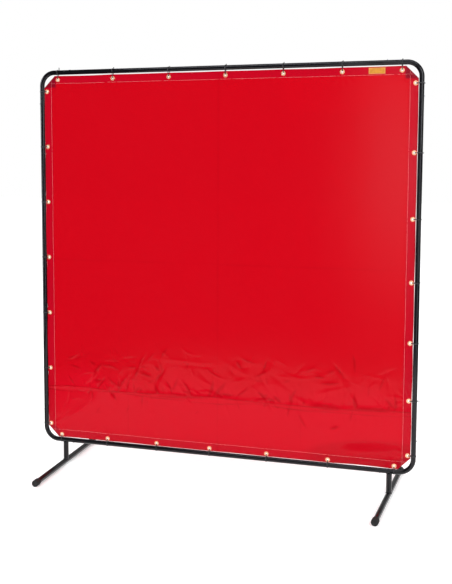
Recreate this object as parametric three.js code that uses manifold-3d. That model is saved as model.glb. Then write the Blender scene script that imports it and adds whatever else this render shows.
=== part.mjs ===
// A welding curtain screen: a square of tube that snaps together at eight joints, standing on two
// slip-on feet, with a vinyl curtain tied into it through brass eyelets.
//
// Millimetres. +X runs along the screen, +Y through it to the back, +Z up.
// The origin is on the floor under the middle of the screen.

import * as THREE from 'three';
import { mergeVertices } from 'three/addons/utils/BufferGeometryUtils.js';
import Module from 'manifold-3d';

const wasm = await Module();
wasm.setup();

// ---- Driving dimensions ----

// The tube frame, over the outside of its tubes
const frameWidth = 1829;
const frameHeight = 1829;
const frameToFloor = 110;
const tubeDiameter = 22.2;
const tubeWall = 1.2;
const bendRadius = 63.5;
const cornerReach = 180; // outer corner of the frame to the end of a corner tube's leg

// The swaged spigots that plug into the corner tubes
const spigotLength = 45;
const swageLength = 8;
const spigotClearance = 0.4;
const jointGap = 0.3;

// The snap buttons that lock the spigots
const buttonDiameter = 7;
const buttonProud = 3;
const buttonInset = 22; // end of a corner tube's leg to its button
const buttonLeafLength = 16;
const buttonLeafWidth = 8;
const buttonLeafThickness = 1.2;
const buttonDomeHeight = 1.6;
const buttonClearance = 0.3;

// The feet
const footInset = 116; // outer side of the frame to the middle of a foot's post
const footToe = 3; // degrees that each foot's front end is turned towards the other foot
const stubLength = 60;
const slipClearance = 0.35;
const postWall = 1.25;
const postTopGap = 3;
const weldGap = 0.3;
const footLength = 711; // over the rubber caps
const barDiameter = 25.4;
const barWall = 1.6;
const capWall = 3;
const capDepth = 32;
const capClearance = 0.3;
const capRound = 1.8;

// The curtain
const curtainSideGap = 1.8; // inner side of the tube to the curtain's edge
const curtainTopGap = 4.5;
const curtainBottomGap = 1.6;
const curtainThickness = 0.6;
const hemWidth = 40;
const cornerCut = 54;

// The eyelets along each edge of the curtain
const eyeletsPerEdge = 7;
const eyeletEdgeInset = 12.5; // edge of the curtain to the middle of an eyelet
const topEyeletEdgeInset = 18.5;
const eyeletEndInset = 95; // outer corner of the frame to the first eyelet, along the tube
const eyeletTapers = { // how much shorter each pitch is than the one before it, clockwise
  top: 5.5,
  right: 10,
  bottom: 10.5,
  left: 3.2,
};
const sideEyeletDrop = 6; // how much lower the side eyelets sit than even spacing puts them
const eyeletHoleDiameter = 9.5;
const eyeletDiameter = 20.6;
const eyeletThickness = 3.2;

// The cable ties, one through each eyelet and round the tube
const tieWidth = 3.6;
const tieThickness = 1.2;
const tieClearance = 0.4;
const tieHeadLength = 6.4;
const tieHeadWidth = 5.2;
const tieHeadHeight = 4.8;
const tieTail = 8; // how far a trimmed tail stands out past the tube

// The sewn label on the top hem
const labelWidth = 72;
const labelHeight = 28;
const labelThickness = 0.5;
const labelFromSide = 167; // right side of the frame to the label
const labelFromEdge = 4; // top edge of the curtain to the label
const labelGap = 0.3;

// Sides of the polygons that stand for circles
const tubeSides = 16;
const smallSides = 8;
const bendSteps = 6;
const eyeletArcSteps = 4;

// ---- Worked-out places ----

const tubeRadius = tubeDiameter / 2;
const boreRadius = tubeRadius - tubeWall;
const spigotRadius = boreRadius - spigotClearance;
const spigotBoreRadius = spigotRadius - tubeWall;
const halfWidth = frameWidth / 2;
const sideX = halfWidth - tubeRadius; // axes of the uprights
const bottomZ = frameToFloor + tubeRadius; // axis of the bottom rail
const topZ = frameToFloor + frameHeight - tubeRadius; // axis of the top rail
const middleZ = (bottomZ + topZ) / 2;
const cornerLeg = cornerReach - tubeRadius; // corner of the tube axes to the end of a leg

const curtainHalfWidth = halfWidth - tubeDiameter - curtainSideGap;
const curtainTop = frameToFloor + frameHeight - tubeDiameter - curtainTopGap;
const curtainBottom = frameToFloor + tubeDiameter + curtainBottomGap;
const curtainHeight = curtainTop - curtainBottom;

const capRadius = barDiameter / 2 + capClearance + capWall;
const barZ = capRadius;
const postBoreRadius = tubeRadius + slipClearance;
const postRadius = postBoreRadius + postWall;
const postX = halfWidth - footInset;

// ---- Solids from three.js geometry ----

function solidOf(geometry) {
  const bare = geometry.clone();
  bare.deleteAttribute('normal');
  bare.deleteAttribute('uv');
  const merged = mergeVertices(bare, 1e-4);
  const vertProperties = new Float32Array(merged.attributes.position.array);
  const triVerts = new Uint32Array(merged.index.array);
  return new wasm.Manifold(new wasm.Mesh({ numProp: 3, vertProperties, triVerts }));
}

function geometryOf(solid) {
  const mesh = solid.getMesh();
  const geometry = new THREE.BufferGeometry();
  const positions = new THREE.BufferAttribute(new Float32Array(mesh.vertProperties), 3);
  geometry.setAttribute('position', positions);
  geometry.setIndex(new THREE.BufferAttribute(new Uint32Array(mesh.triVerts), 1));
  geometry.computeVertexNormals();
  return geometry;
}

// The vertex radius of a regular polygon whose flats are at the given radius
function flatRadius(radius, sides) {
  return radius / Math.cos(Math.PI / sides);
}

// A solid of revolution about +Z from [radius, z] points, listed anticlockwise
function turned(points, sides, startAngle = 0) {
  const profile = points.map(([radius, z]) => new THREE.Vector2(radius, z));
  const geometry = new THREE.LatheGeometry(profile, sides, startAngle);
  return geometry.rotateX(Math.PI / 2);
}

// A plain rod along +Z from z0 to z1
function rod(radius, z0, z1, sides) {
  return turned([[0, z0], [radius, z0], [radius, z1], [0, z1]], sides);
}

function box(sizeX, sizeY, sizeZ, x, y, z) {
  return new THREE.BoxGeometry(sizeX, sizeY, sizeZ).translate(x, y, z);
}

// ---- Materials ----

function finish(colour, roughness, metalness) {
  return new THREE.MeshStandardMaterial({ color: colour, roughness, metalness });
}

const blackCoat = finish(0x1c1b1f, 0.42, 0.1);
const blackRubber = finish(0x141414, 0.85, 0);
const blackNylon = finish(0x161616, 0.55, 0);
const plated = finish(0xb9b9b4, 0.35, 1);
const redVinyl = finish(0xd40a19, 0.18, 0);
const yellowTape = finish(0xf0a31e, 0.6, 0);

const screen = new THREE.Group();

function place(name, geometry, material, parent = screen) {
  const mesh = new THREE.Mesh(geometry, material.clone());
  mesh.name = name;
  parent.add(mesh);
  return mesh;
}

// ---- The four corners and the way each one faces ----

const corners = [
  { name: 'top_left', x: -1, z: 1 },
  { name: 'top_right', x: 1, z: 1 },
  { name: 'bottom_left', x: -1, z: -1 },
  { name: 'bottom_right', x: 1, z: -1 },
];

// Along a corner tube: down one leg, round the bend and out along the other leg.
// The corner of its axes is at the origin, and the legs run along -X and -Z.
class CornerPath extends THREE.Curve {
  getPointAt(share, target = new THREE.Vector3()) {
    const step = Math.round(share * (bendSteps + 2));
    if (step === 0) {
      return target.set(-cornerLeg, 0, 0);
    }
    if (step === bendSteps + 2) {
      return target.set(0, 0, -cornerLeg);
    }
    const angle = ((step - 1) / bendSteps) * (Math.PI / 2);
    const out = bendRadius * Math.sin(angle) - bendRadius;
    const down = bendRadius * Math.cos(angle) - bendRadius;
    return target.set(out, 0, down);
  }

  getTangentAt(share, target = new THREE.Vector3()) {
    const step = Math.round(share * (bendSteps + 2));
    const turn = Math.min(Math.max(step - 1, 0), bendSteps) / bendSteps;
    const angle = turn * (Math.PI / 2);
    return target.set(Math.cos(angle), 0, -Math.sin(angle));
  }
}

function ringShape(radius, holeRadius, sides) {
  const outline = (r) => Array.from({ length: sides }, (_, i) => {
    const angle = (i / sides) * 2 * Math.PI;
    return new THREE.Vector2(r * Math.cos(angle), r * Math.sin(angle));
  });
  const shape = new THREE.Shape(outline(radius));
  shape.holes.push(new THREE.Path(outline(holeRadius)));
  return shape;
}

function cornerTube(corner) {
  const tube = new THREE.ExtrudeGeometry(ringShape(tubeRadius, boreRadius, tubeSides), {
    steps: bendSteps + 2,
    extrudePath: new CornerPath(),
  });
  const holeRadius = buttonDiameter / 2 + buttonClearance;
  const holeAt = cornerLeg - buttonInset;
  const hole = rod(holeRadius, 0, tubeRadius + 1, smallSides);
  const railHole = hole.clone().translate(-holeAt, 0, 0);
  const uprightHole = hole.clone().rotateY(Math.PI / 2).translate(0, 0, -holeAt);
  let solid = solidOf(tube).subtract(solidOf(railHole)).subtract(solidOf(uprightHole));
  if (corner.x < 0) {
    solid = solid.mirror([1, 0, 0]);
  }
  if (corner.z < 0) {
    solid = solid.mirror([0, 0, 1]);
  }
  return geometryOf(solid);
}

for (const corner of corners) {
  const mesh = place(`${corner.name}_corner_tube`, cornerTube(corner), blackCoat);
  mesh.position.set(corner.x * sideX, 0, corner.z > 0 ? topZ : bottomZ);
}

// ---- The four straight tubes, with a swaged spigot on each end ----

// Along +Z about its middle, with its button holes towards outward
function straightTube(span, outward) {
  const shoulder = span / 2 - cornerLeg - jointGap;
  const end = shoulder + jointGap + spigotLength;
  const half = [
    [spigotBoreRadius, end],
    [spigotRadius, end],
    [spigotRadius, shoulder],
    [tubeRadius, shoulder],
  ];
  const bore = [
    [boreRadius, shoulder - swageLength],
    [spigotBoreRadius, shoulder],
  ];
  const profile = [
    ...half.slice().reverse(),
    ...bore.slice().reverse(),
    ...bore.map(([radius, z]) => [radius, -z]),
    ...half.map(([radius, z]) => [radius, -z]),
  ];
  profile.push(profile[0]);
  const holeRadius = buttonDiameter / 2 + buttonClearance;
  const holeAt = shoulder + jointGap + buttonInset;
  let solid = solidOf(turned(profile, tubeSides));
  for (const side of [-1, 1]) {
    const hole = rod(holeRadius, 0, tubeRadius, smallSides).rotateY(outward * Math.PI / 2);
    solid = solid.subtract(solidOf(hole.translate(0, 0, side * holeAt)));
  }
  return geometryOf(solid);
}

const spanX = 2 * sideX;
const spanZ = topZ - bottomZ;
const rails = [
  { name: 'top_rail', z: topZ, outward: -1 },
  { name: 'bottom_rail', z: bottomZ, outward: 1 },
];
for (const rail of rails) {
  const tube = straightTube(spanX, rail.outward).rotateY(Math.PI / 2);
  place(rail.name, tube, blackCoat).position.set(0, 0, rail.z);
}
for (const [name, side] of [['left_upright', -1], ['right_upright', 1]]) {
  const tube = straightTube(spanZ, side);
  place(name, tube, blackCoat).position.set(side * sideX, 0, middleZ);
}

// ---- The snap buttons ----

// Along +Z, with the tube's axis through the origin
function snapButton() {
  const radius = buttonDiameter / 2;
  const top = tubeRadius + buttonProud;
  const leafCorner = spigotBoreRadius * Math.cos(Math.PI / tubeSides) - buttonClearance;
  const leafTop = Math.sqrt(leafCorner ** 2 - (buttonLeafWidth / 2) ** 2);
  const head = turned([
    [0, leafTop - buttonLeafThickness / 2],
    [radius, leafTop - buttonLeafThickness / 2],
    [radius, top - buttonDomeHeight],
    [radius * 0.7, top - buttonDomeHeight * 0.3],
    [0, top],
  ], smallSides);
  const leafZ = leafTop - buttonLeafThickness / 2;
  const leaf = box(buttonLeafLength, buttonLeafWidth, buttonLeafThickness, 0, 0, leafZ);
  return geometryOf(solidOf(head).add(solidOf(leaf)));
}

for (const corner of corners) {
  const railZ = corner.z > 0 ? topZ : bottomZ;
  const alongLeg = cornerLeg - buttonInset;
  const onRail = place(`${corner.name}_rail_button`, snapButton(), plated);
  onRail.rotation.x = corner.z > 0 ? 0 : Math.PI;
  onRail.position.set(corner.x * (sideX - alongLeg), 0, railZ);
  const onUpright = place(`${corner.name}_upright_button`, snapButton(), plated);
  onUpright.rotation.y = corner.x * Math.PI / 2;
  onUpright.position.set(corner.x * sideX, 0, railZ - corner.z * alongLeg);
}

// ---- The feet ----

// Welded under the bottom corner tube, and hollow like the frame's own tube
function footStub() {
  const low = bottomZ - tubeRadius - stubLength;
  const tube = turned([
    [boreRadius, low],
    [tubeRadius, low],
    [tubeRadius, bottomZ],
    [boreRadius, bottomZ],
    [boreRadius, low],
  ], tubeSides);
  const saddle = rod(tubeRadius + weldGap, -2 * tubeRadius, 2 * tubeRadius, tubeSides);
  saddle.rotateY(Math.PI / 2).translate(0, 0, bottomZ);
  return geometryOf(solidOf(tube).subtract(solidOf(saddle)));
}

// Slips over the stub, and is coped to sit on the floor bar
function footPost() {
  const high = frameToFloor - postTopGap;
  const bore = flatRadius(postBoreRadius, tubeSides);
  const tube = turned([
    [bore, barZ],
    [postRadius, barZ],
    [postRadius, high],
    [bore, high],
    [bore, barZ],
  ], tubeSides);
  const copeRadius = flatRadius(barDiameter / 2 + weldGap, tubeSides);
  const cope = rod(copeRadius, -2 * postRadius, 2 * postRadius, tubeSides);
  cope.rotateX(Math.PI / 2).translate(0, 0, barZ);
  return geometryOf(solidOf(tube).subtract(solidOf(cope)));
}

// Along +Z, with a flat of its polygon facing down once it is laid along Y
function footBar() {
  const end = footLength / 2 - capWall - capClearance;
  const outer = flatRadius(barDiameter / 2, tubeSides);
  const inner = flatRadius(barDiameter / 2 - barWall, tubeSides);
  return turned([
    [inner, -end],
    [outer, -end],
    [outer, end],
    [inner, end],
    [inner, -end],
  ], tubeSides, Math.PI / tubeSides);
}

// A rubber cup over the bar's end, its closed end at z = footLength / 2
function footCap() {
  const end = footLength / 2;
  const outer = flatRadius(capRadius, tubeSides);
  const inner = flatRadius(barDiameter / 2 + capClearance, tubeSides);
  return turned([
    [0, end - capWall],
    [inner, end - capWall],
    [inner, end - capDepth],
    [outer, end - capDepth],
    [outer, end - capRound],
    [outer - capRound, end],
    [0, end],
  ], tubeSides, Math.PI / tubeSides);
}

for (const [side, sign] of [['left', -1], ['right', 1]]) {
  const foot = new THREE.Group();
  foot.position.set(sign * postX, 0, 0);
  screen.add(foot);
  place(`${side}_foot_stub`, footStub(), blackCoat, foot);
  const turn = new THREE.Group();
  turn.rotation.z = -sign * THREE.MathUtils.degToRad(footToe);
  foot.add(turn);
  place(`${side}_foot_post`, footPost(), blackCoat, turn);
  const bar = place(`${side}_foot_bar`, footBar(), blackCoat, turn);
  bar.rotation.x = Math.PI / 2;
  bar.position.z = barZ;
  for (const [end, facing] of [['front', 1], ['rear', -1]]) {
    const cap = place(`${side}_${end}_foot_cap`, footCap(), blackRubber, turn);
    cap.rotation.x = facing * Math.PI / 2;
    cap.position.z = barZ;
  }
}

// ---- Where the eyelets are ----

// How far each eyelet is from the frame's outer corner, going clockwise round the front
function eyeletSteps(edge) {
  const pitch = (edge.length - 2 * eyeletEndInset) / (eyeletsPerEdge - 1);
  const middlePitch = (eyeletsPerEdge - 2) / 2;
  const steps = [eyeletEndInset + edge.slide];
  for (let i = 0; i < eyeletsPerEdge - 1; i += 1) {
    steps.push(steps[i] + pitch + eyeletTapers[edge.name] * (middlePitch - i));
  }
  return steps;
}

// Each edge: its axis line's start corner, the way along it, and the way in to the curtain
const frameTop = frameToFloor + frameHeight;
const edges = [
  {
    name: 'top', length: frameWidth, along: [1, 0], inward: [0, -1],
    start: [-halfWidth, topZ],
    slide: 0,
    reach: tubeRadius + curtainTopGap + topEyeletEdgeInset,
  },
  {
    name: 'right', length: frameHeight, along: [0, -1], inward: [-1, 0],
    start: [sideX, frameTop],
    slide: sideEyeletDrop,
    reach: tubeRadius + curtainSideGap + eyeletEdgeInset,
  },
  {
    name: 'bottom', length: frameWidth, along: [-1, 0], inward: [0, 1],
    start: [halfWidth, bottomZ],
    slide: 0,
    reach: tubeRadius + curtainBottomGap + eyeletEdgeInset,
  },
  {
    name: 'left', length: frameHeight, along: [0, 1], inward: [1, 0],
    start: [-sideX, frameToFloor],
    slide: -sideEyeletDrop,
    reach: tubeRadius + curtainSideGap + eyeletEdgeInset,
  },
];

// ---- The curtain ----

// An outline in X and Z with its corners cut off, moved in from the curtain's edge by inset
function curtainOutline(inset) {
  const x = curtainHalfWidth - inset;
  const low = curtainBottom + inset;
  const high = curtainTop - inset;
  const cut = cornerCut - inset * (2 - Math.SQRT2);
  const points = [
    [-x, low + cut],
    [-x + cut, low],
    [x - cut, low],
    [x, low + cut],
    [x, high - cut],
    [x - cut, high],
    [-x + cut, high],
    [-x, high - cut],
  ];
  return points.map(([px, pz]) => new THREE.Vector2(px, pz));
}

// Shapes are drawn in X and Z and thickened from y0 back to y1
function sheet(shape, y0, y1) {
  const geometry = new THREE.ExtrudeGeometry(shape, { depth: y1 - y0, bevelEnabled: false });
  return geometry.rotateX(Math.PI / 2).translate(0, y1, 0);
}

function curtain() {
  const hem = new THREE.Shape(curtainOutline(0));
  hem.holes.push(new THREE.Path(curtainOutline(hemWidth)));
  const front = sheet(new THREE.Shape(curtainOutline(0)), -curtainThickness, 0);
  let solid = solidOf(front).add(solidOf(sheet(hem, -curtainThickness / 2, curtainThickness)));
  const half = eyeletThickness / 2;
  const disc = rod(eyeletDiameter / 2, -half, half, smallSides).rotateX(Math.PI / 2);
  const hole = rod(eyeletHoleDiameter / 2, -half - 1, half + 1, smallSides).rotateX(Math.PI / 2);
  const discs = [];
  const holes = [];
  for (const edge of edges) {
    for (const step of eyeletSteps(edge)) {
      const x = edge.start[0] + edge.along[0] * step + edge.inward[0] * edge.reach;
      const z = edge.start[1] + edge.along[1] * step + edge.inward[1] * edge.reach;
      discs.push(solidOf(disc.clone().translate(x, 0, z)));
      holes.push(solidOf(hole.clone().translate(x, 0, z)));
    }
  }
  solid = wasm.Manifold.union([solid, ...discs]);
  return geometryOf(wasm.Manifold.difference([solid, ...holes]));
}

place('curtain', curtain(), redVinyl);

const labelX = halfWidth - labelFromSide - labelWidth / 2;
const labelY = -curtainThickness - labelGap - labelThickness / 2;
const labelZ = curtainTop - labelFromEdge - labelHeight / 2;
const label = box(labelWidth, labelThickness, labelHeight, labelX, labelY, labelZ);
place('curtain_label', label, yellowTape);

// ---- The cable ties ----

// The hull of a circle round the tube and a small one in the eyelet, drawn from the tube's axis:
// the first axis points in to the curtain and the second one back.
function loopOutline(tubeCircle, eyeletCircle, eyeletAt) {
  const lean = Math.asin((tubeCircle - eyeletCircle) / eyeletAt);
  const points = [];
  const arc = (centre, radius, from, to, count) => {
    for (let i = 0; i <= count; i += 1) {
      const angle = from + ((to - from) * i) / count;
      points.push(new THREE.Vector2(centre + radius * Math.cos(angle), radius * Math.sin(angle)));
    }
  };
  const quarter = Math.PI / 2;
  arc(eyeletAt, eyeletCircle, -quarter + lean, quarter - lean, eyeletArcSteps);
  arc(0, tubeCircle, quarter - lean, 3 * quarter + lean, smallSides);
  return points;
}

function cableTie(reach) {
  const roundTube = flatRadius(tubeRadius + tieClearance, smallSides);
  const roundEyelet = eyeletThickness / 2 + 3 * tieClearance;
  const holeFlat = (eyeletHoleDiameter / 2) * Math.cos(Math.PI / smallSides);
  const chord = tieWidth / 2 + tieClearance;
  const strapInHole = Math.sqrt(holeFlat ** 2 - chord ** 2) - tieClearance;
  const eyeletAt = reach - strapInHole - roundEyelet;
  const outside = loopOutline(roundTube + tieThickness, roundEyelet + tieThickness, eyeletAt);
  const strap = new THREE.Shape(outside);
  strap.holes.push(new THREE.Path(loopOutline(roundTube, roundEyelet, eyeletAt)));
  const loop = new THREE.ExtrudeGeometry(strap, { depth: tieWidth, bevelEnabled: false });
  loop.translate(0, 0, -tieWidth / 2);
  const headY = roundTube + tieThickness / 2 + tieHeadHeight / 2;
  const head = box(tieHeadLength, tieHeadHeight, tieHeadWidth, 0, headY, 0);
  const tailEnd = tubeRadius + tieTail;
  const tail = box(tailEnd, tieThickness, tieWidth, -tailEnd / 2, headY, 0);
  return geometryOf(solidOf(loop).add(solidOf(head)).add(solidOf(tail)));
}

for (const edge of edges) {
  const along = new THREE.Vector3(edge.along[0], 0, edge.along[1]);
  const inward = new THREE.Vector3(edge.inward[0], 0, edge.inward[1]);
  const back = new THREE.Vector3(0, 1, 0);
  const turn = new THREE.Matrix4().makeBasis(inward, back, along);
  eyeletSteps(edge).forEach((step, i) => {
    const tie = place(`cable_tie_${edge.name}_${i + 1}`, cableTie(edge.reach), blackNylon);
    tie.quaternion.setFromRotationMatrix(turn);
    tie.position.set(edge.start[0], 0, edge.start[1]).addScaledVector(along, step);
  });
}

export default screen;
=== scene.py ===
import bmesh
import bpy
import math
import random
import numpy as np
from mathutils import Matrix, Vector
from mathutils.geometry import delaunay_2d_cdt


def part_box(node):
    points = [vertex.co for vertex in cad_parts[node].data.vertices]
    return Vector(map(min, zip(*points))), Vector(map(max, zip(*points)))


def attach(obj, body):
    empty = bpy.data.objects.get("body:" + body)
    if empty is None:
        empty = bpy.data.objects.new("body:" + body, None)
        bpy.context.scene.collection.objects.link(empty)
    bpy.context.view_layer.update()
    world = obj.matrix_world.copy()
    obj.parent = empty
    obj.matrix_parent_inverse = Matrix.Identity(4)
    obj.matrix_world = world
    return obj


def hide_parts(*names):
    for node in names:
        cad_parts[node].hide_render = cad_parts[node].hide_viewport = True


# A welding curtain screen: a snap-together tube frame on two slip-on feet, with a glossy red vinyl
# curtain tied into it. Everything is in metres: +X along the screen, +Y to the back, +Z up.

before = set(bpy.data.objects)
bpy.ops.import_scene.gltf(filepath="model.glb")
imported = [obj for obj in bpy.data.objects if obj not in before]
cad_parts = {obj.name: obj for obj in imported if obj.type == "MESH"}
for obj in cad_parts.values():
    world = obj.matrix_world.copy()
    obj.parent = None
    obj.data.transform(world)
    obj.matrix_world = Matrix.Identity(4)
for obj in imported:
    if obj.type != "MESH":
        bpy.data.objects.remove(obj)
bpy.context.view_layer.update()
print("frame loaded:", len(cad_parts), "CAD nodes")

mm = 0.001
plainSharpAngle = 38  # degrees between two faces that make an edge sharp
softSharpAngle = 60  # for welds and thread
corners = [(name, side, rise) for name, side, rise in (
    ("top_left", -1, 1), ("top_right", 1, 1), ("bottom_left", -1, -1), ("bottom_right", 1, -1))]
edgeNames = ("top", "right", "bottom", "left")


def middle(node):
    low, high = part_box(node)
    return (low + high) / 2


def size(node):
    low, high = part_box(node)
    return high - low


# Camera

camera = {
    "place": (1.212, -3.9561, 1.4514),
    "turn": 16.624,  # degrees to the left of straight through the screen
    "tilt": 4.98,  # degrees down
    "roll": 0.24,
    "lens": 55.13,
    "shift": -0.0711,
}


def makeCamera():
    turn, tilt, roll = (math.radians(camera[k]) for k in ("turn", "tilt", "roll"))
    right = Vector((math.cos(turn), math.sin(turn), 0))
    ahead = Vector((-math.sin(turn) * math.cos(tilt), math.cos(turn) * math.cos(tilt), -math.sin(tilt)))
    up = right.cross(ahead)
    rolledRight = right * math.cos(roll) + up * math.sin(roll)
    rolledUp = up * math.cos(roll) - right * math.sin(roll)
    data = bpy.data.cameras.new("camera")
    data.lens = camera["lens"]
    data.sensor_width = 36
    data.shift_y = camera["shift"]
    data.clip_start = 0.05
    data.clip_end = 100
    obj = bpy.data.objects.new("camera", data)
    turned = Matrix((rolledRight, rolledUp, -ahead)).transposed().to_4x4()
    obj.matrix_world = Matrix.Translation(camera["place"]) @ turned
    bpy.context.scene.collection.objects.link(obj)
    bpy.context.scene.camera = obj


makeCamera()

# Mesh helpers


def makeMesh(name, verts, faces, sharpAngle=plainSharpAngle):
    mesh = bpy.data.meshes.new(name)
    mesh.from_pydata([tuple(v) for v in verts], [], faces)
    mesh.validate()
    tidy = bmesh.new()
    tidy.from_mesh(mesh)
    bmesh.ops.recalc_face_normals(tidy, faces=tidy.faces)
    tidy.to_mesh(mesh)
    tidy.free()
    mesh.polygons.foreach_set("use_smooth", [True] * len(mesh.polygons))
    mesh.set_sharp_from_angle(angle=math.radians(sharpAngle))
    return mesh


def addPiece(name, mesh, material, body, replaced=()):
    if material.name not in [m.name for m in mesh.materials if m]:
        mesh.materials.append(material)
    obj = bpy.data.objects.new(name, mesh)
    bpy.context.scene.collection.objects.link(obj)
    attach(obj, body)
    if replaced:
        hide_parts(*replaced)
    return obj


def ringOf(centre, across, upward, radius, sides):
    points = []
    for i in range(sides):
        angle = 2 * math.pi * i / sides
        points.append(centre + across * (radius * math.cos(angle)) + upward * (radius * math.sin(angle)))
    return points


def skin(rings, closed=False):
    # Joins rings of equal length into one closed surface: a loop of rings, or one with flat ends
    sides = len(rings[0])
    verts = [point for ring in rings for point in ring]
    faces = []
    count = len(rings)
    for i in range(count if closed else count - 1):
        a, b = i * sides, ((i + 1) % count) * sides
        for j in range(sides):
            k = (j + 1) % sides
            faces.append((a + j, a + k, b + k, b + j))
    if not closed:
        faces.append(tuple(reversed(range(sides))))
        faces.append(tuple(range((count - 1) * sides, count * sides)))
    return verts, faces


def spun(profile, sides, closed=True):
    # A turned shape about +Z from (radius, height) points
    x, y = Vector((1, 0, 0)), Vector((0, 1, 0))
    return skin([ringOf(Vector((0, 0, h)), x, y, r, sides) for r, h in profile], closed)


def moved(shape, matrix):
    verts, faces = shape
    return [matrix @ Vector(v) for v in verts], faces


def joined(shapes):
    verts, faces = [], []
    for shapeVerts, shapeFaces in shapes:
        base = len(verts)
        verts.extend(shapeVerts)
        faces.extend(tuple(base + i for i in face) for face in shapeFaces)
    return verts, faces


def roundedBox(sizeX, sizeY, sizeZ, edge, steps=2):
    box = bmesh.new()
    bmesh.ops.create_cube(box, size=1)
    bmesh.ops.scale(box, vec=(sizeX, sizeY, sizeZ), verts=box.verts)
    bmesh.ops.bevel(box, geom=box.edges[:], offset=edge, segments=steps, profile=0.5, affect="EDGES")
    verts = [v.co.copy() for v in box.verts]
    faces = [tuple(v.index for v in f.verts) for f in box.faces]
    box.free()
    return verts, faces


def aimed(origin, direction, across):
    # Local +Z goes along direction and local +X along across
    z = Vector(direction).normalized()
    x = Vector(across).normalized()
    y = z.cross(x)
    return Matrix.Translation(origin) @ Matrix((x, y, z)).transposed().to_4x4()


def cutAway(mesh, cutters):
    # The mesh less each closed cutter shape
    scene = bpy.context.scene
    target = bpy.data.objects.new("cutting", mesh)
    scene.collection.objects.link(target)
    tools = []
    for shape in cutters:
        tool = bpy.data.objects.new("cutter", makeMesh("cutter", *shape))
        scene.collection.objects.link(tool)
        tools.append(tool)
        cut = target.modifiers.new("cut", "BOOLEAN")
        cut.operation = "DIFFERENCE"
        cut.solver = "EXACT"
        cut.object = tool
    bpy.context.view_layer.update()
    result = bpy.data.meshes.new_from_object(target.evaluated_get(bpy.context.evaluated_depsgraph_get()))
    result.name = mesh.name
    for obj in tools + [target]:
        bpy.data.objects.remove(obj)
    result.set_sharp_from_angle(angle=math.radians(plainSharpAngle))
    return result


# Effects shared by the materials


def startGroup(name, inputs, outputs):
    tree = bpy.data.node_groups.new(name, "ShaderNodeTree")
    for label, value in inputs.items():
        kind = "NodeSocketColor" if isinstance(value, tuple) else "NodeSocketFloat"
        tree.interface.new_socket(label, in_out="INPUT", socket_type=kind).default_value = value
    for label in outputs:
        tree.interface.new_socket(label, in_out="OUTPUT", socket_type="NodeSocketFloat")
    source = tree.nodes.new("NodeGroupInput")
    result = tree.nodes.new("NodeGroupOutput")
    return tree, source, result


def noiseNode(tree, place, scale, detail=3, roughness=0.55):
    noise = tree.nodes.new("ShaderNodeTexNoise")
    noise.inputs["Detail"].default_value = detail
    noise.inputs["Roughness"].default_value = roughness
    tree.links.new(place, noise.inputs["Vector"])
    if isinstance(scale, (int, float)):
        noise.inputs["Scale"].default_value = scale
    else:
        tree.links.new(scale, noise.inputs["Scale"])
    return noise


def mathNode(tree, operation, a, b=None):
    node = tree.nodes.new("ShaderNodeMath")
    node.operation = operation
    for socket, value in zip(node.inputs, (a, b)):
        if value is None:
            continue
        if isinstance(value, (int, float)):
            socket.default_value = value
        else:
            tree.links.new(value, socket)
    return node.outputs["Value"]


def mapNode(tree, value, fromLow, fromHigh, toLow=0, toHigh=1):
    node = tree.nodes.new("ShaderNodeMapRange")
    tree.links.new(value, node.inputs["Value"])
    bounds = {"From Min": fromLow, "From Max": fromHigh, "To Min": toLow, "To Max": toHigh}
    for label, bound in bounds.items():
        if isinstance(bound, (int, float)):
            node.inputs[label].default_value = bound
        else:
            tree.links.new(bound, node.inputs[label])
    return node.outputs["Result"]


def makeSurfaceGrain():
    # Fine bumps, and a slow drift of tone over the surface
    inputs = {"Grain Scale": 900.0, "Drift Scale": 6.0}
    tree, source, result = startGroup("surfaceGrain", inputs, ("Height", "Drift"))
    place = tree.nodes.new("ShaderNodeTexCoord").outputs["Object"]
    grain = noiseNode(tree, place, source.outputs["Grain Scale"], 2)
    drift = noiseNode(tree, place, source.outputs["Drift Scale"], 4)
    tree.links.new(grain.outputs["Fac"], result.inputs["Height"])
    tree.links.new(mapNode(tree, drift.outputs["Fac"], 0.3, 0.7), result.inputs["Drift"])
    return tree


def makeRubMarks():
    # Scattered handling marks, as a mask
    inputs = {"Mark Scale": 40.0, "Cover": 0.3, "Streak": 6.0}
    tree, source, result = startGroup("rubMarks", inputs, ("Mask",))
    place = tree.nodes.new("ShaderNodeTexCoord").outputs["Object"]
    patches = noiseNode(tree, place, mathNode(tree, "MULTIPLY", source.outputs["Mark Scale"], 0.2), 3)
    stretch = tree.nodes.new("ShaderNodeVectorMath")
    stretch.operation = "MULTIPLY"
    tree.links.new(place, stretch.inputs[0])
    combine = tree.nodes.new("ShaderNodeCombineXYZ")
    combine.inputs["X"].default_value = 1
    combine.inputs["Y"].default_value = 1
    tree.links.new(mathNode(tree, "DIVIDE", 1, source.outputs["Streak"]), combine.inputs["Z"])
    tree.links.new(combine.outputs["Vector"], stretch.inputs[1])
    streaks = noiseNode(tree, stretch.outputs["Vector"], source.outputs["Mark Scale"], 5, 0.65)
    both = mathNode(tree, "MULTIPLY", patches.outputs["Fac"], streaks.outputs["Fac"])
    edge = mathNode(tree, "SUBTRACT", 0.52, mathNode(tree, "MULTIPLY", source.outputs["Cover"], 0.4))
    tree.links.new(mapNode(tree, both, edge, mathNode(tree, "ADD", edge, 0.06)), result.inputs["Mask"])
    return tree


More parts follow.
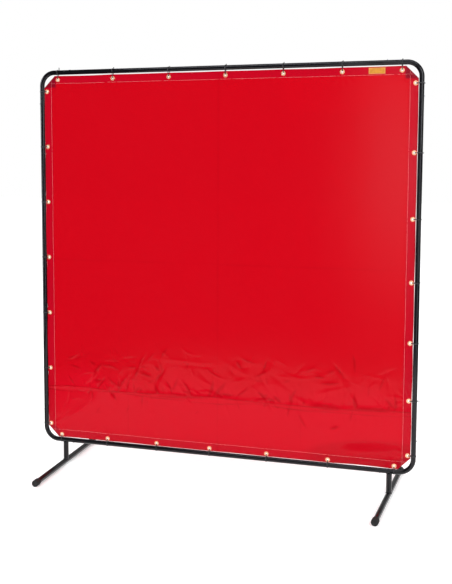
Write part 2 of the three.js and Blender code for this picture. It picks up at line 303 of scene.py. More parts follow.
def makeSettledDust():
    # Dust on what faces up, as a mask
    tree, source, result = startGroup("settledDust", {"Amount": 0.4, "Dust Scale": 60.0}, ("Mask",))
    facing = tree.nodes.new("ShaderNodeSeparateXYZ")
    tree.links.new(tree.nodes.new("ShaderNodeNewGeometry").outputs["Normal"], facing.inputs["Vector"])
    place = tree.nodes.new("ShaderNodeTexCoord").outputs["Object"]
    speck = noiseNode(tree, place, source.outputs["Dust Scale"], 5, 0.7)
    top = mapNode(tree, facing.outputs["Z"], 0.3, 1)
    dusty = mathNode(tree, "MULTIPLY", top, mapNode(tree, speck.outputs["Fac"], 0.35, 0.75))
    tree.links.new(mathNode(tree, "MULTIPLY", dusty, source.outputs["Amount"]), result.inputs["Mask"])
    return tree


surfaceGrain = makeSurfaceGrain()
rubMarks = makeRubMarks()
settledDust = makeSettledDust()


def startMaterial(name, settings):
    material = bpy.data.materials.new(name)
    material.use_nodes = True
    shader = material.node_tree.nodes["Principled BSDF"]
    for label, value in settings.items():
        shader.inputs[label].default_value = value
    return material, material.node_tree, shader


def placeGroup(tree, group, **values):
    node = tree.nodes.new("ShaderNodeGroup")
    node.node_tree = group
    for label, value in values.items():
        node.inputs[label.replace("_", " ")].default_value = value
    return node


def setSurface(tree, shader, colour, rough, height, bumpDistance):
    tree.links.new(colour, shader.inputs["Base Color"])
    tree.links.new(rough, shader.inputs["Roughness"])
    return addBump(tree, shader, height, bumpDistance)


def mixColour(tree, factor, first, second):
    node = tree.nodes.new("ShaderNodeMix")
    node.data_type = "RGBA"
    tree.links.new(factor, node.inputs["Factor"])
    for socket, value in ((node.inputs[6], first), (node.inputs[7], second)):
        if isinstance(value, tuple):
            socket.default_value = (*value, 1)
        else:
            tree.links.new(value, socket)
    return node.outputs[2]


def addBump(tree, shader, height, distance, strength=1.0, before=None):
    bump = tree.nodes.new("ShaderNodeBump")
    bump.inputs["Distance"].default_value = distance
    bump.inputs["Strength"].default_value = strength
    tree.links.new(height, bump.inputs["Height"])
    if before is not None:
        tree.links.new(before, bump.inputs["Normal"])
    tree.links.new(bump.outputs["Normal"], shader.inputs["Normal"])
    return bump.outputs["Normal"]


# Materials


def makePowderCoat():
    look = {"coat": (0.0035, 0.0035, 0.005), "worn": (0.03, 0.028, 0.032), "dust": (0.1, 0.095, 0.09),
            "rough": (0.09, 0.17), "dustDulls": 0.5, "peel": 0.06 * mm}
    material, tree, shader = startMaterial("blackPowderCoat", {"IOR": 1.5, "Specular IOR Level": 0.3})
    grain = placeGroup(tree, surfaceGrain, Grain_Scale=700, Drift_Scale=9)
    marks = placeGroup(tree, rubMarks, Mark_Scale=90, Cover=0.26, Streak=5)
    dust = placeGroup(tree, settledDust, Amount=0.12, Dust_Scale=140)
    base = mixColour(tree, marks.outputs["Mask"], look["coat"], look["worn"])
    colour = mixColour(tree, dust.outputs["Mask"], base, look["dust"])
    clean = mapNode(tree, grain.outputs["Drift"], 0, 1, *look["rough"])
    rough = mathNode(tree, "ADD", clean, mathNode(tree, "MULTIPLY", dust.outputs["Mask"], look["dustDulls"]))
    setSurface(tree, shader, colour, rough, grain.outputs["Height"], look["peel"])
    return material


# Finishes that only drift between two tones; grain and drift are how fine each is
plainFinishes = {
    "coatedWeld": {
        "tones": ((0.005, 0.005, 0.006), (0.025, 0.022, 0.022)), "grain": 1400, "drift": 120,
        "rough": (0.35, 0.6), "bump": 0.25 * mm, "shader": {"IOR": 1.5}},
    "blackNylon": {
        "tones": ((0.006, 0.006, 0.007), (0.022, 0.022, 0.024)), "grain": 2200, "drift": 90,
        "rough": (0.36, 0.52), "bump": 0.06 * mm, "shader": {"IOR": 1.53, "Specular IOR Level": 0.5}},
    "zincPlate": {
        "tones": ((0.72, 0.73, 0.74), (0.48, 0.49, 0.51)), "grain": 1800, "drift": 300,
        "rough": (0.22, 0.45), "bump": 0.03 * mm, "shader": {"Metallic": 1.0}},
    "hemThread": {
        "tones": ((0.95, 0.36, 0.37), (0.8, 0.2, 0.22)), "grain": 2500, "drift": 500,
        "rough": (0.6, 0.8), "bump": 0.15 * mm, "shader": {"Sheen Weight": 0.3, "Specular IOR Level": 0.3}},
}


def makePlainFinish(name):
    look = plainFinishes[name]
    material, tree, shader = startMaterial(name, look["shader"])
    grain = placeGroup(tree, surfaceGrain, Grain_Scale=look["grain"], Drift_Scale=look["drift"])
    colour = mixColour(tree, grain.outputs["Drift"], *look["tones"])
    rough = mapNode(tree, grain.outputs["Drift"], 0, 1, *look["rough"])
    setSurface(tree, shader, colour, rough, grain.outputs["Height"], look["bump"])
    return material


def makeRubber():
    look = {"rubber": (0.006, 0.006, 0.006), "bloom": (0.03, 0.03, 0.03), "dust": (0.12, 0.11, 0.1),
            "rough": (0.62, 0.82), "bump": 0.2 * mm}
    material, tree, shader = startMaterial("blackRubber", {"IOR": 1.5, "Specular IOR Level": 0.35})
    grain = placeGroup(tree, surfaceGrain, Grain_Scale=1600, Drift_Scale=40)
    marks = placeGroup(tree, rubMarks, Mark_Scale=160, Cover=0.5, Streak=1)
    dust = placeGroup(tree, settledDust, Amount=0.2, Dust_Scale=260)
    base = mixColour(tree, marks.outputs["Mask"], look["rubber"], look["bloom"])
    colour = mixColour(tree, dust.outputs["Mask"], base, look["dust"])
    rough = mapNode(tree, grain.outputs["Drift"], 0, 1, *look["rough"])
    setSurface(tree, shader, colour, rough, grain.outputs["Height"], look["bump"])
    return material


def makeBrass():
    look = {"bright": (1.0, 0.7, 0.44), "tarnish": (0.92, 0.45, 0.24),
            "rough": (0.28, 0.45), "bump": 0.03 * mm}
    material, tree, shader = startMaterial("eyeletBrass", {"Metallic": 0.85})
    grain = placeGroup(tree, surfaceGrain, Grain_Scale=1500, Drift_Scale=230)
    marks = placeGroup(tree, rubMarks, Mark_Scale=700, Cover=0.35, Streak=1)
    base = mixColour(tree, grain.outputs["Drift"], look["bright"], look["tarnish"])
    colour = mixColour(tree, marks.outputs["Mask"], base, look["bright"])
    rough = mapNode(tree, grain.outputs["Drift"], 0, 1, *look["rough"])
    setSurface(tree, shader, colour, rough, grain.outputs["Height"], look["bump"])
    return material


def makeVinyl():
    look = {"sheet": (0.56, 0.0022, 0.0092), "hem": (0.535, 0.0026, 0.0155), "stack": (0.26, 0.004, 0.016),
            "creaseShadow": (0.34, 0.001, 0.004), "paintedReflection": (0.61, 0.0026, 0.0135), "rough": (0.025, 0.075),
            "rubbed": 0.12, "ripple": 0.9 * mm, "bump": 0.04 * mm}
    material, tree, shader = startMaterial("redVinyl", {
        "IOR": 1.34, "Specular IOR Level": 0.1, "Transmission Weight": 0.25})
    grain = placeGroup(tree, surfaceGrain, Grain_Scale=300, Drift_Scale=4)
    slow = placeGroup(tree, surfaceGrain, Grain_Scale=9, Drift_Scale=2)
    marks = placeGroup(tree, rubMarks, Mark_Scale=60, Cover=0.25, Streak=3)
    colour = look["sheet"]
    # The hem keeps its own tone; the folded corners and the creases are painted darker as painted shade, and
    # the low sheet is painted paler as a painted reflection of the bright floor
    for label in ("hem", "stack", "paintedReflection", "creaseShadow"):
        mask = tree.nodes.new("ShaderNodeAttribute")
        mask.attribute_name = f"{label}Shade"
        colour = mixColour(tree, mask.outputs["Fac"], colour, look[label])
    haze = mapNode(tree, grain.outputs["Drift"], 0, 1, *look["rough"])
    rough = mathNode(tree, "ADD", haze, mathNode(tree, "MULTIPLY", marks.outputs["Mask"], look["rubbed"]))
    ripples = setSurface(tree, shader, colour, rough, slow.outputs["Height"], look["ripple"])
    addBump(tree, shader, grain.outputs["Height"], look["bump"], before=ripples)
    return material


def makeLabelTape():
    look = {"tape": (0.6, 0.26, 0.025), "deep": (0.42, 0.16, 0.015), "weave": 260, "rough": (0.75, 0.5),
            "bump": 0.2 * mm}
    material, tree, shader = startMaterial("yellowTape", {"Specular IOR Level": 0.2})
    grain = placeGroup(tree, surfaceGrain, Grain_Scale=1200, Drift_Scale=60)
    place = tree.nodes.new("ShaderNodeTexCoord").outputs["Object"]
    waves = []
    for direction in ("X", "Z"):
        wave = tree.nodes.new("ShaderNodeTexWave")
        wave.bands_direction = direction
        wave.inputs["Scale"].default_value = look["weave"]
        tree.links.new(place, wave.inputs["Vector"])
        waves.append(wave.outputs["Fac"])
    weave = mathNode(tree, "MULTIPLY", waves[0], waves[1])
    tone = mathNode(tree, "MULTIPLY", grain.outputs["Drift"], mathNode(tree, "SUBTRACT", 1, weave))
    colour = mixColour(tree, tone, look["tape"], look["deep"])
    setSurface(tree, shader, colour, mapNode(tree, weave, 0, 1, *look["rough"]), weave, look["bump"])
    return material


powderCoat = makePowderCoat()
rubber = makeRubber()
brass = makeBrass()
vinyl = makeVinyl()
weldSteel, nylon, zinc, thread = (makePlainFinish(name) for name in plainFinishes)
labelTape = makeLabelTape()
print("materials made")

# The tube frame

tube = {
    "sides": 56,
    "wall": 1.2 * mm,
    "bendRadius": 63.5 * mm,
    "bendSteps": 26,
    "rim": 0.45 * mm,  # rounding at a cut end
    "spigotStep": 1.6 * mm,  # how much smaller the spigot's radius is than the tube's
    "spigotLength": 45 * mm,
    "crimp": 0.35 * mm,  # how far the bend flattens
}
tubeRadius = size("top_rail").y / 2
sideX = middle("right_upright").x
railZ = {1: middle("top_rail").z, -1: middle("bottom_rail").z}
cornerLeg = size("top_left_corner_tube").x - tubeRadius
along = {"x": Vector((1, 0, 0)), "y": Vector((0, 1, 0)), "z": Vector((0, 0, 1))}


def tubeRings(stations, sides):
    # Outside rings one way and inside rings back; a station is (centre, normal, outer radius, flattening)
    outside = []
    inside = []
    for centre, normal, radius, squashed in stations:
        outside.append(ringOf(centre, normal * (1 - squashed / tubeRadius), along["y"], radius, sides))
        inside.append(ringOf(centre, normal, along["y"], tubeRadius - tube["wall"], sides))
    return skin(outside + inside[::-1], closed=True)


def buttonHole(place, outward, across):
    radius = size("top_left_rail_button").y / 2 * 0.95
    shape = spun([(radius, 0), (radius, tubeRadius * 1.6)], 28, closed=False)
    return moved(shape, aimed(place, outward, across))


def cornerTubeMesh(name, side, rise):
    # The corner of the tube's axes, and the ways back along its two legs
    corner = Vector((side * sideX, 0, railZ[rise]))
    toRail = Vector((-side, 0, 0))
    toUpright = Vector((0, 0, -rise))
    stations = []

    def leg(back, normal):
        midLeg = (cornerLeg + tube["bendRadius"]) / 2
        spots = [cornerLeg, cornerLeg - tube["rim"], midLeg, tube["bendRadius"] + 4 * mm]
        radii = [tubeRadius - tube["rim"], tubeRadius, tubeRadius, tubeRadius]
        return [(corner + back * spot, normal, radius, 0) for spot, radius in zip(spots, radii)]

    stations += leg(toRail, -toUpright)
    centre = corner + (toRail + toUpright) * tube["bendRadius"]
    for i in range(tube["bendSteps"] + 1):
        angle = math.pi / 2 * i / tube["bendSteps"]
        normal = -toUpright * math.cos(angle) - toRail * math.sin(angle)
        flattened = tube["crimp"] * math.sin(2 * angle)
        stations.append((centre + normal * tube["bendRadius"], normal, tubeRadius, flattened))
    stations += leg(toUpright, -toRail)[::-1]
    mesh = makeMesh(name, *tubeRings(stations, tube["sides"]))
    cutters = []
    for kind, back, outward in (("rail", toRail, -toUpright), ("upright", toUpright, -toRail)):
        spot = middle(f"{name}_{kind}_button")
        place = Vector((spot.x, 0, corner.z)) if kind == "rail" else Vector((corner.x, 0, spot.z))
        cutters.append(buttonHole(place, outward, back))
    return cutAway(mesh, cutters)


def straightTubeMesh(name, direction, outward):
    low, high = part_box(name)
    centre = (low + high) / 2
    half = (high - low).dot(direction) / 2
    shoulder = half - tube["spigotLength"]
    outer, spigot = tubeRadius, tubeRadius - tube["spigotStep"]
    end = [
        (spigot - tube["wall"], half), (spigot - tube["rim"], half), (spigot, half - tube["rim"] * 2),
        (spigot, shoulder + 0.6 * mm), (spigot + 0.1 * mm, shoulder + 0.2 * mm),
        (outer - 0.5 * mm, shoulder), (outer - 0.12 * mm, shoulder - 0.25 * mm), (outer, shoulder - 0.8 * mm),
    ]
    bore = [(outer - tube["wall"], shoulder - 8 * mm), (spigot - tube["wall"], shoulder)]
    rings = [(r, -h) for r, h in reversed(bore)]
    profile = [(r, h) for r, h in bore] + end
    profile += [(outer, shoulder * f) for f in (0.5, 0, -0.5)]
    profile += [(r, -h) for r, h in reversed(end)] + rings
    shape = moved(spun(profile, tube["sides"]), aimed(centre, direction, outward))
    mesh = makeMesh(name, *shape)
    cutters = []
    for sign in (-1, 1):
        hole = half - tube["spigotLength"] + size("top_left_rail_button").x * 1.375
        cutters.append(buttonHole(centre + direction * (sign * hole), outward, direction))
    return cutAway(mesh, cutters)


for name, side, rise in corners:
    node = f"{name}_corner_tube"
    mesh = cornerTubeMesh(name, side, rise)
    addPiece(f"{node}_round", mesh, powderCoat, "frame", (node,))
for name, direction, outward in (
        ("top_rail", along["x"], along["z"]), ("bottom_rail", along["x"], -along["z"]),
        ("left_upright", along["z"], -along["x"]), ("right_upright", along["z"], along["x"])):
    mesh = straightTubeMesh(name, direction, outward)
    addPiece(f"{name}_round", mesh, powderCoat, "frame", (name,))

# The snap buttons: a domed head on a bent leaf

button = {
    "headRadius": 3.5 * mm,
    "proud": 3 * mm,
    "dome": 1.5 * mm,  # rounding of the head
    "leaf": (16 * mm, 8 * mm, 1.2 * mm),
    "leafTop": 6.6 * mm,  # from the tube's axis
    "sides": 32,
}


def snapButtonMesh():
    r, top = button["headRadius"], tubeRadius + button["proud"]
    length, width, thick = button["leaf"]
    leafTop, edge = button["leafTop"], button["dome"]
    dome = [(r, leafTop - thick / 2), (r, top - edge)]
    for i in range(1, 7):
        angle = math.pi / 2 * i / 6
        dome.append((r - edge + edge * math.cos(angle), top - edge + edge * math.sin(angle)))
    dome.append((0.02 * mm, top + 0.12 * mm))
    head = spun(dome, button["sides"], closed=False)
    leaf = moved(roundedBox(length, width, thick, 0.35 * mm), Matrix.Translation((0, 0, leafTop - thick / 2)))
    return joined([head, leaf])


buttonShape = snapButtonMesh()
for name, side, rise in corners:
    for kind, outward, across in (
            ("rail", Vector((0, 0, rise)), along["x"]), ("upright", Vector((side, 0, 0)), along["z"])):
        node = f"{name}_{kind}_button"
        spot = middle(node)
        axis = Vector((spot.x, 0, railZ[rise])) if kind == "rail" else Vector((side * sideX, 0, spot.z))
        shape = moved(buttonShape, aimed(axis, outward, across))
        addPiece(f"{node}_domed", makeMesh(node, *shape), zinc, node, (node,))
print("frame tubes and snap buttons made")

# The feet

foot = {
    "sides": 56,
    "wall": 1.3 * mm,
    "barWall": 1.6 * mm,
    "rim": 0.4 * mm,
    "copeBite": 0.1 * mm,  # how far a coped end reaches into the tube that it is welded to
    "copeReach": 50 * mm,  # half the length of the coping cutter
    "beadRadius": 1.9 * mm,
    "beadPitch": 2.6 * mm,  # spacing of the ripples in a weld
    "stubWeldLength": 85 * mm,
    "postWeldLength": 100 * mm,
    "capRibs": 3,
    "capReach": 355.5 * mm,  # from the post's axis to the end of a cap
    "capDepth": 32 * mm,
    "capGap": 0.25 * mm,
}


def openTube(low, high, radius, wall, rim, sides):
    inner = radius - wall
    return spun([
        (inner, low), (radius - rim, low), (radius, low + rim), (radius, (low + high) / 2),
        (radius, high - rim), (radius - rim, high), (inner, high), (inner, (low + high) / 2)], sides)


def weldBead(path, pathLength, seed):
    # A rippled bead along a closed path(share) -> (point, outward, upward)
    ripples = max(12, round(pathLength / foot["beadPitch"]))
    count = ripples * 5
    chance = random.Random(seed)
    wobble = [chance.uniform(0.88, 1.12) for _ in range(ripples)]
    rings = []
    for i in range(count):
        share = i / count
        point, outward, upward = path(share)
        phase = (share * ripples) % 1
        swell = 0.86 + 0.16 * math.sin(math.pi * phase)
        radius = foot["beadRadius"] * swell * wobble[int(share * ripples) % ripples]
        rings.append(ringOf(point, outward, upward, radius, 10))
    return skin(rings, closed=True)


def saddlePath(pipeRadius, branchRadius, centre, pipeAxis, above):
    # Where an upright tube meets a level one: above is +1 if the upright tube stands on it
    cross = along["z"].cross(pipeAxis)
    reach = 0.985

    def path(share):
        angle = 2 * math.pi * share
        outward = pipeAxis * math.cos(angle) + cross * math.sin(angle)
        side = min(branchRadius * abs(math.sin(angle)) * reach, pipeRadius * 0.99)
        rise = math.sqrt(pipeRadius ** 2 - side ** 2)
        point = centre + outward * (branchRadius + 0.2 * mm) + along["z"] * (above * (rise + 0.3 * mm))
        return point, outward, along["z"]

    return path


def footCapShape(low, high, radius, boreRadius, sides):
    # Along +Z, open at low and closed at high, with moulded ribs near its mouth
    wall = radius - boreRadius
    profile = [(boreRadius, high - 3 * mm), (boreRadius, low + 0.6 * mm), (boreRadius + 0.5 * mm, low)]
    profile += [(radius - 0.7 * mm, low), (radius - 0.15 * mm, low + 0.5 * mm)]
    for i in range(foot["capRibs"]):
        start = low + (2 + 3 * i) * mm
        profile += [(radius, start), (radius, start + 1.2 * mm), (radius - 0.5 * mm, start + 1.7 * mm),
                    (radius - 0.5 * mm, start + 2.5 * mm)]
    profile += [(radius, low + (3 + 3 * foot["capRibs"]) * mm), (radius, (low + high) / 2 + 3 * mm)]
    edge = wall * 0.95
    for i in range(8):
        angle = math.pi / 2 * i / 7
        profile.append((radius - edge + edge * math.cos(angle), high - edge + edge * math.sin(angle)))
    profile += [(radius * 0.45, high), (radius * 0.4, high - 0.5 * mm), (0.05 * mm, high - 0.5 * mm)]
    profile += [(0.05 * mm, high - 3 * mm)]
    return spun(profile, sides)


def coped(mesh, centre, pipeRadius, pipeAxis, across):
    # The mesh cut to sit on a tube that crosses its end
    radius, reach = pipeRadius - foot["copeBite"], foot["copeReach"]
    cutter = spun([(radius, -reach), (radius, reach)], foot["sides"], closed=False)
    return cutAway(mesh, [moved(cutter, aimed(centre, pipeAxis, across))])


for sideName, sign in (("left", -1), ("right", 1)):
    body = f"{sideName}_foot"
    postNode, barNode, stubNode = (f"{sideName}_foot_{kind}" for kind in ("post", "bar", "stub"))
    postMiddle = middle(postNode)
    postRadius = size(postNode).x / 2
    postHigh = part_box(postNode)[1].z
    rear, front = middle(f"{sideName}_rear_foot_cap"), middle(f"{sideName}_front_foot_cap")
    barAxis = (rear - front).normalized()
    barRadius = size(barNode).z / 2
    capRadius = size(f"{sideName}_rear_foot_cap").z / 2
    barMiddle = Vector((postMiddle.x, 0, capRadius))
    barHalf = size(barNode).y / 2
    capHalf = foot["capReach"]

    stubLow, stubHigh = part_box(stubNode)[0].z, railZ[-1] - tubeRadius * 0.85
    stub = openTube(stubLow, stubHigh, tubeRadius, tube["wall"], foot["rim"], foot["sides"])
    stubPlace = Matrix.Translation((postMiddle.x, 0, 0))
    mesh = makeMesh(stubNode, *moved(stub, stubPlace))
    underRail = Vector((postMiddle.x, 0, railZ[-1]))
    mesh = coped(mesh, underRail, tubeRadius, along["x"], along["z"])
    addPiece(f"{stubNode}_round", mesh, powderCoat, "frame", (stubNode,))
    path = saddlePath(tubeRadius, tubeRadius, underRail, along["x"], -1)
    bead = weldBead(path, foot["stubWeldLength"], 11 + sign)
    addPiece(f"{stubNode}_weld", makeMesh("weld", *bead, softSharpAngle), weldSteel, "frame")

    post = openTube(capRadius, postHigh, postRadius, foot["wall"], foot["rim"], foot["sides"])
    mesh = makeMesh(postNode, *moved(post, stubPlace))
    mesh = coped(mesh, barMiddle, barRadius, barAxis, along["z"])
    addPiece(f"{postNode}_round", mesh, powderCoat, body, (postNode,))
    path = saddlePath(barRadius, postRadius, barMiddle, barAxis, 1)
    bead = weldBead(path, foot["postWeldLength"], 21 + sign)
    addPiece(f"{postNode}_weld", makeMesh("weld", *bead, softSharpAngle), weldSteel, body)

    bar = openTube(-barHalf, barHalf, barRadius, foot["barWall"], foot["rim"], foot["sides"])
    mesh = makeMesh(barNode, *moved(bar, aimed(barMiddle, barAxis, along["z"])))
    addPiece(f"{barNode}_round", mesh, powderCoat, body, (barNode,))
    for end, way in (("front", -1), ("rear", 1)):
        node = f"{sideName}_{end}_foot_cap"
        mouth = capHalf - foot["capDepth"]
        shape = footCapShape(mouth, capHalf, capRadius, barRadius + foot["capGap"], foot["sides"])
        mesh = makeMesh(node, *moved(shape, aimed(barMiddle, barAxis * way, along["z"])))
        addPiece(f"{node}_moulded", mesh, rubber, body, (node,))
print("feet made")

# The curtain

curtain = {
    "thickness": 0.5 * mm,
    "gridStep": 9 * mm,
    "fineStep": 4.5 * mm,  # across the crumpled band
    "fineBand": (0.05, 0.54),  # heights above the bottom edge
    "cornerCut": 54 * mm,
    "hemWidth": 40 * mm,
    "layerGap": 0.1 * mm,
    "eyeletInset": {"top": 18.5 * mm, "right": 12.5 * mm, "bottom": 12.5 * mm, "left": 12.5 * mm},
    "eyeletHole": 5.3 * mm,
    "eyeletCollar": 3.2 * mm,  # a ring of finer points round each hole
    # How far the edge draws in between one eyelet and the next (mm), going clockwise round the front
    "drawIn": {"top": (1.4, 0.8, 0.5, 0.6, 1, 0.6), "right": (-0.6, -0.8, -1.2, -1.2, -1.3, -1.2),
               "bottom": (3, 1.2, 0.4, 0.5, 0.9, 2.2), "left": (-1.3, -1.3, -1.2, -1.2, -1.2, -0.8)},
    "drawDepth": 90 * mm,
    "edgeCup": 1.6 * mm,
    "billow": 3.2 * mm,
    "paintedReflectionBelow": 0.4,  # height above the bottom edge under which the vinyl is painted paler, a painted reflection of the bright floor
}
sheetLow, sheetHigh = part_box("curtain")
sheetWidth, sheetHeight = sheetHigh.x - sheetLow.x, sheetHigh.z - sheetLow.z
eyelets = {}
for edge in edgeNames:
    inset = curtain["eyeletInset"][edge]
    spots = []
    for i in range(7):
        spot = middle(f"cable_tie_{edge}_{i + 1}")
        if edge in ("top", "bottom"):
            spots.append((spot.x, sheetHigh.z - inset if edge == "top" else sheetLow.z + inset))
        else:
            spots.append((sheetHigh.x - inset if edge == "right" else sheetLow.x + inset, spot.z))
    eyelets[edge] = spots
allEyelets = np.array([spot for edge in edgeNames for spot in eyelets[edge]])


def bandNoise(x, z, scale, seed):
    # Smooth noise from a few crossing waves
    chance = random.Random(seed)
    total = np.zeros_like(x)
    for _ in range(7):
        angle = chance.uniform(0, math.pi)
        pitch = scale * chance.uniform(0.6, 1.7)
        phase = chance.uniform(0, 2 * math.pi)
        total += np.sin((x * math.cos(angle) + z * math.sin(angle)) * 2 * math.pi / pitch + phase)
    return total / 3.2


# Folds left from packing: share of the way across, height, half width, how much it wavers, how patchy it is
foldLines = {
    "level": (
        {"share": 0.5, "rise": -0.25 * mm, "wide": 9 * mm, "waver": 1.5 * mm, "patch": 0.5},
        {"share": 0.144, "rise": -2.4 * mm, "wide": 9 * mm, "waver": 8 * mm, "patch": 0.6},
        {"share": 0.133, "rise": 1.1 * mm, "wide": 6 * mm, "waver": 9 * mm, "patch": 1.0},
    ),
    "upright": (
        {"share": 0.495, "rise": -0.22 * mm, "wide": 10 * mm, "waver": 1 * mm, "patch": 0.6},
        {"share": 0.24, "rise": -0.2 * mm, "wide": 9 * mm, "waver": 1.5 * mm, "patch": 0.8},
        {"share": 0.72, "rise": -0.2 * mm, "wide": 9 * mm, "waver": 1.5 * mm, "patch": 0.8},
    ),
}
# Single soft folds where the sheet hangs slack: place from the bottom left, slope, half length and width;
# shade is how strongly the fold is painted darker as painted shadow
slackFolds = (
    {"x": 1.59, "z": 0.054, "slope": 0.08, "long": 0.18, "wide": 0.042, "rise": -9 * mm, "shade": 0.26},
    {"x": 0.70, "z": 0.424, "slope": -0.03, "long": 0.1, "wide": 0.008, "rise": -0.6 * mm},
    {"x": 0.76, "z": 0.405, "slope": 0.02, "long": 0.07, "wide": 0.007, "rise": 0.5 * mm},
    {"x": 0.16, "z": 0.13, "slope": 0.75, "long": 0.07, "wide": 0.02, "rise": -0.9 * mm},
    {"x": 0.98, "z": 0.40, "slope": -0.55, "long": 0.07, "wide": 0.012, "rise": -0.9 * mm},
    {"x": 1.18, "z": 0.36, "slope": -0.7, "long": 0.08, "wide": 0.011, "rise": 0.7 * mm},
    {"x": 1.42, "z": 0.33, "slope": 0.3, "long": 0.09, "wide": 0.012, "rise": -0.8 * mm},
    {"x": 1.40, "z": 0.256, "slope": -0.05, "long": 0.07, "wide": 0.011, "rise": -2.6 * mm, "shade": 0.45},
    {"x": 1.61, "z": 0.262, "slope": 0.02, "long": 0.09, "wide": 0.009, "rise": -2.2 * mm, "shade": 0.5},
    {"x": 1.12, "z": 0.27, "slope": 0.1, "long": 0.06, "wide": 0.008, "rise": -1.8 * mm, "shade": 0.4},
    {"x": 1.44, "z": 0.164, "slope": 0.4, "long": 0.02, "wide": 0.007, "rise": -2 * mm, "shade": 0.5},
    {"x": 1.29, "z": 0.18, "slope": -1.6, "long": 0.035, "wide": 0.007, "rise": -1.6 * mm, "shade": 0.4},
    {"x": 0.70, "z": 0.25, "slope": 0.06, "long": 0.13, "wide": 0.008, "rise": -1.9 * mm, "shade": 0.45},
    {"x": 0.59, "z": 0.34, "slope": 2.2, "long": 0.07, "wide": 0.013, "rise": 1.6 * mm},
    {"x": 0.385, "z": 0.22, "slope": 4, "long": 0.08, "wide": 0.012, "rise": 0.8 * mm},
)
crumple = {
    "seed": 7,
    "feet": 96,  # short folds that run off the low fold
    "loose": 150,  # folds in the slack just above it
    "stray": 40,
}


def crumpleStrokes():
    chance = random.Random(crumple["seed"])
    lowFold = sheetLow.z + sheetHeight * foldLines["level"][1]["share"]
    strokes = []

    # Some strokes are also painted darker along their fold as painted shadow
    def add(x, z, turn, long, wide, rise):
        strokes.append({"x": x, "z": z, "turn": turn, "long": long, "wide": wide,
                        "rise": rise * chance.choice((-1, 1)), "bend": chance.uniform(-5, 5),
                        "shade": chance.random() < 0.4})

    for _ in range(crumple["feet"]):
        long = chance.uniform(0.012, 0.045)
        up = chance.choice((-1, 1, 1))
        add(chance.uniform(sheetLow.x + 0.09, sheetHigh.x - 0.06), lowFold + up * long * 0.9,
            math.pi / 2 + chance.gauss(0, 0.55), long, chance.uniform(0.0045, 0.008),
            chance.uniform(0.5, 1.5) * mm)
    for _ in range(crumple["loose"]):
        add(chance.uniform(sheetLow.x + 0.1, sheetHigh.x - 0.08), lowFold + chance.uniform(0.0, 0.21),
            chance.gauss(0.2, 0.9), chance.uniform(0.015, 0.05), chance.uniform(0.005, 0.01),
            chance.uniform(0.35, 1.1) * mm)
    for _ in range(crumple["stray"]):
        add(chance.uniform(sheetLow.x + 0.1, sheetHigh.x - 0.1), sheetLow.z + chance.uniform(0.06, 0.22),
            chance.gauss(0.4, 0.8), chance.uniform(0.015, 0.04), chance.uniform(0.005, 0.009),
            chance.uniform(0.25, 0.7) * mm)
    return strokes


crumples = crumpleStrokes()


def ridgeAt(x, z, fold, power=1.6):
    # The height of one straight or bowed fold at each point
    dx, dz = x - fold["x"], z - fold["z"]
    run, rise = math.cos(fold["turn"]), math.sin(fold["turn"])
    lengthwise = dx * run + dz * rise
    sideways = dz * run - dx * rise + fold.get("bend", 0) * lengthwise ** 2
    return fold["rise"] * np.exp(-(lengthwise / fold["long"]) ** 2 - np.abs(sideways / fold["wide"]) ** power)


def heldBack(x, z):
    # 0 at each eyelet, where the ring holds the sheet in the frame's plane, and 1 away from them
    hold = np.ones_like(x)
    for ex, ez in allEyelets:
        hold *= 1 - np.exp(-(((x - ex) ** 2 + (z - ez) ** 2) / (0.02 ** 2)) ** 1.5)
    return hold


def edgeDistance(x, z):
    return {"top": sheetHigh.z - z, "right": sheetHigh.x - x,
            "bottom": z - sheetLow.z, "left": x - sheetLow.x}


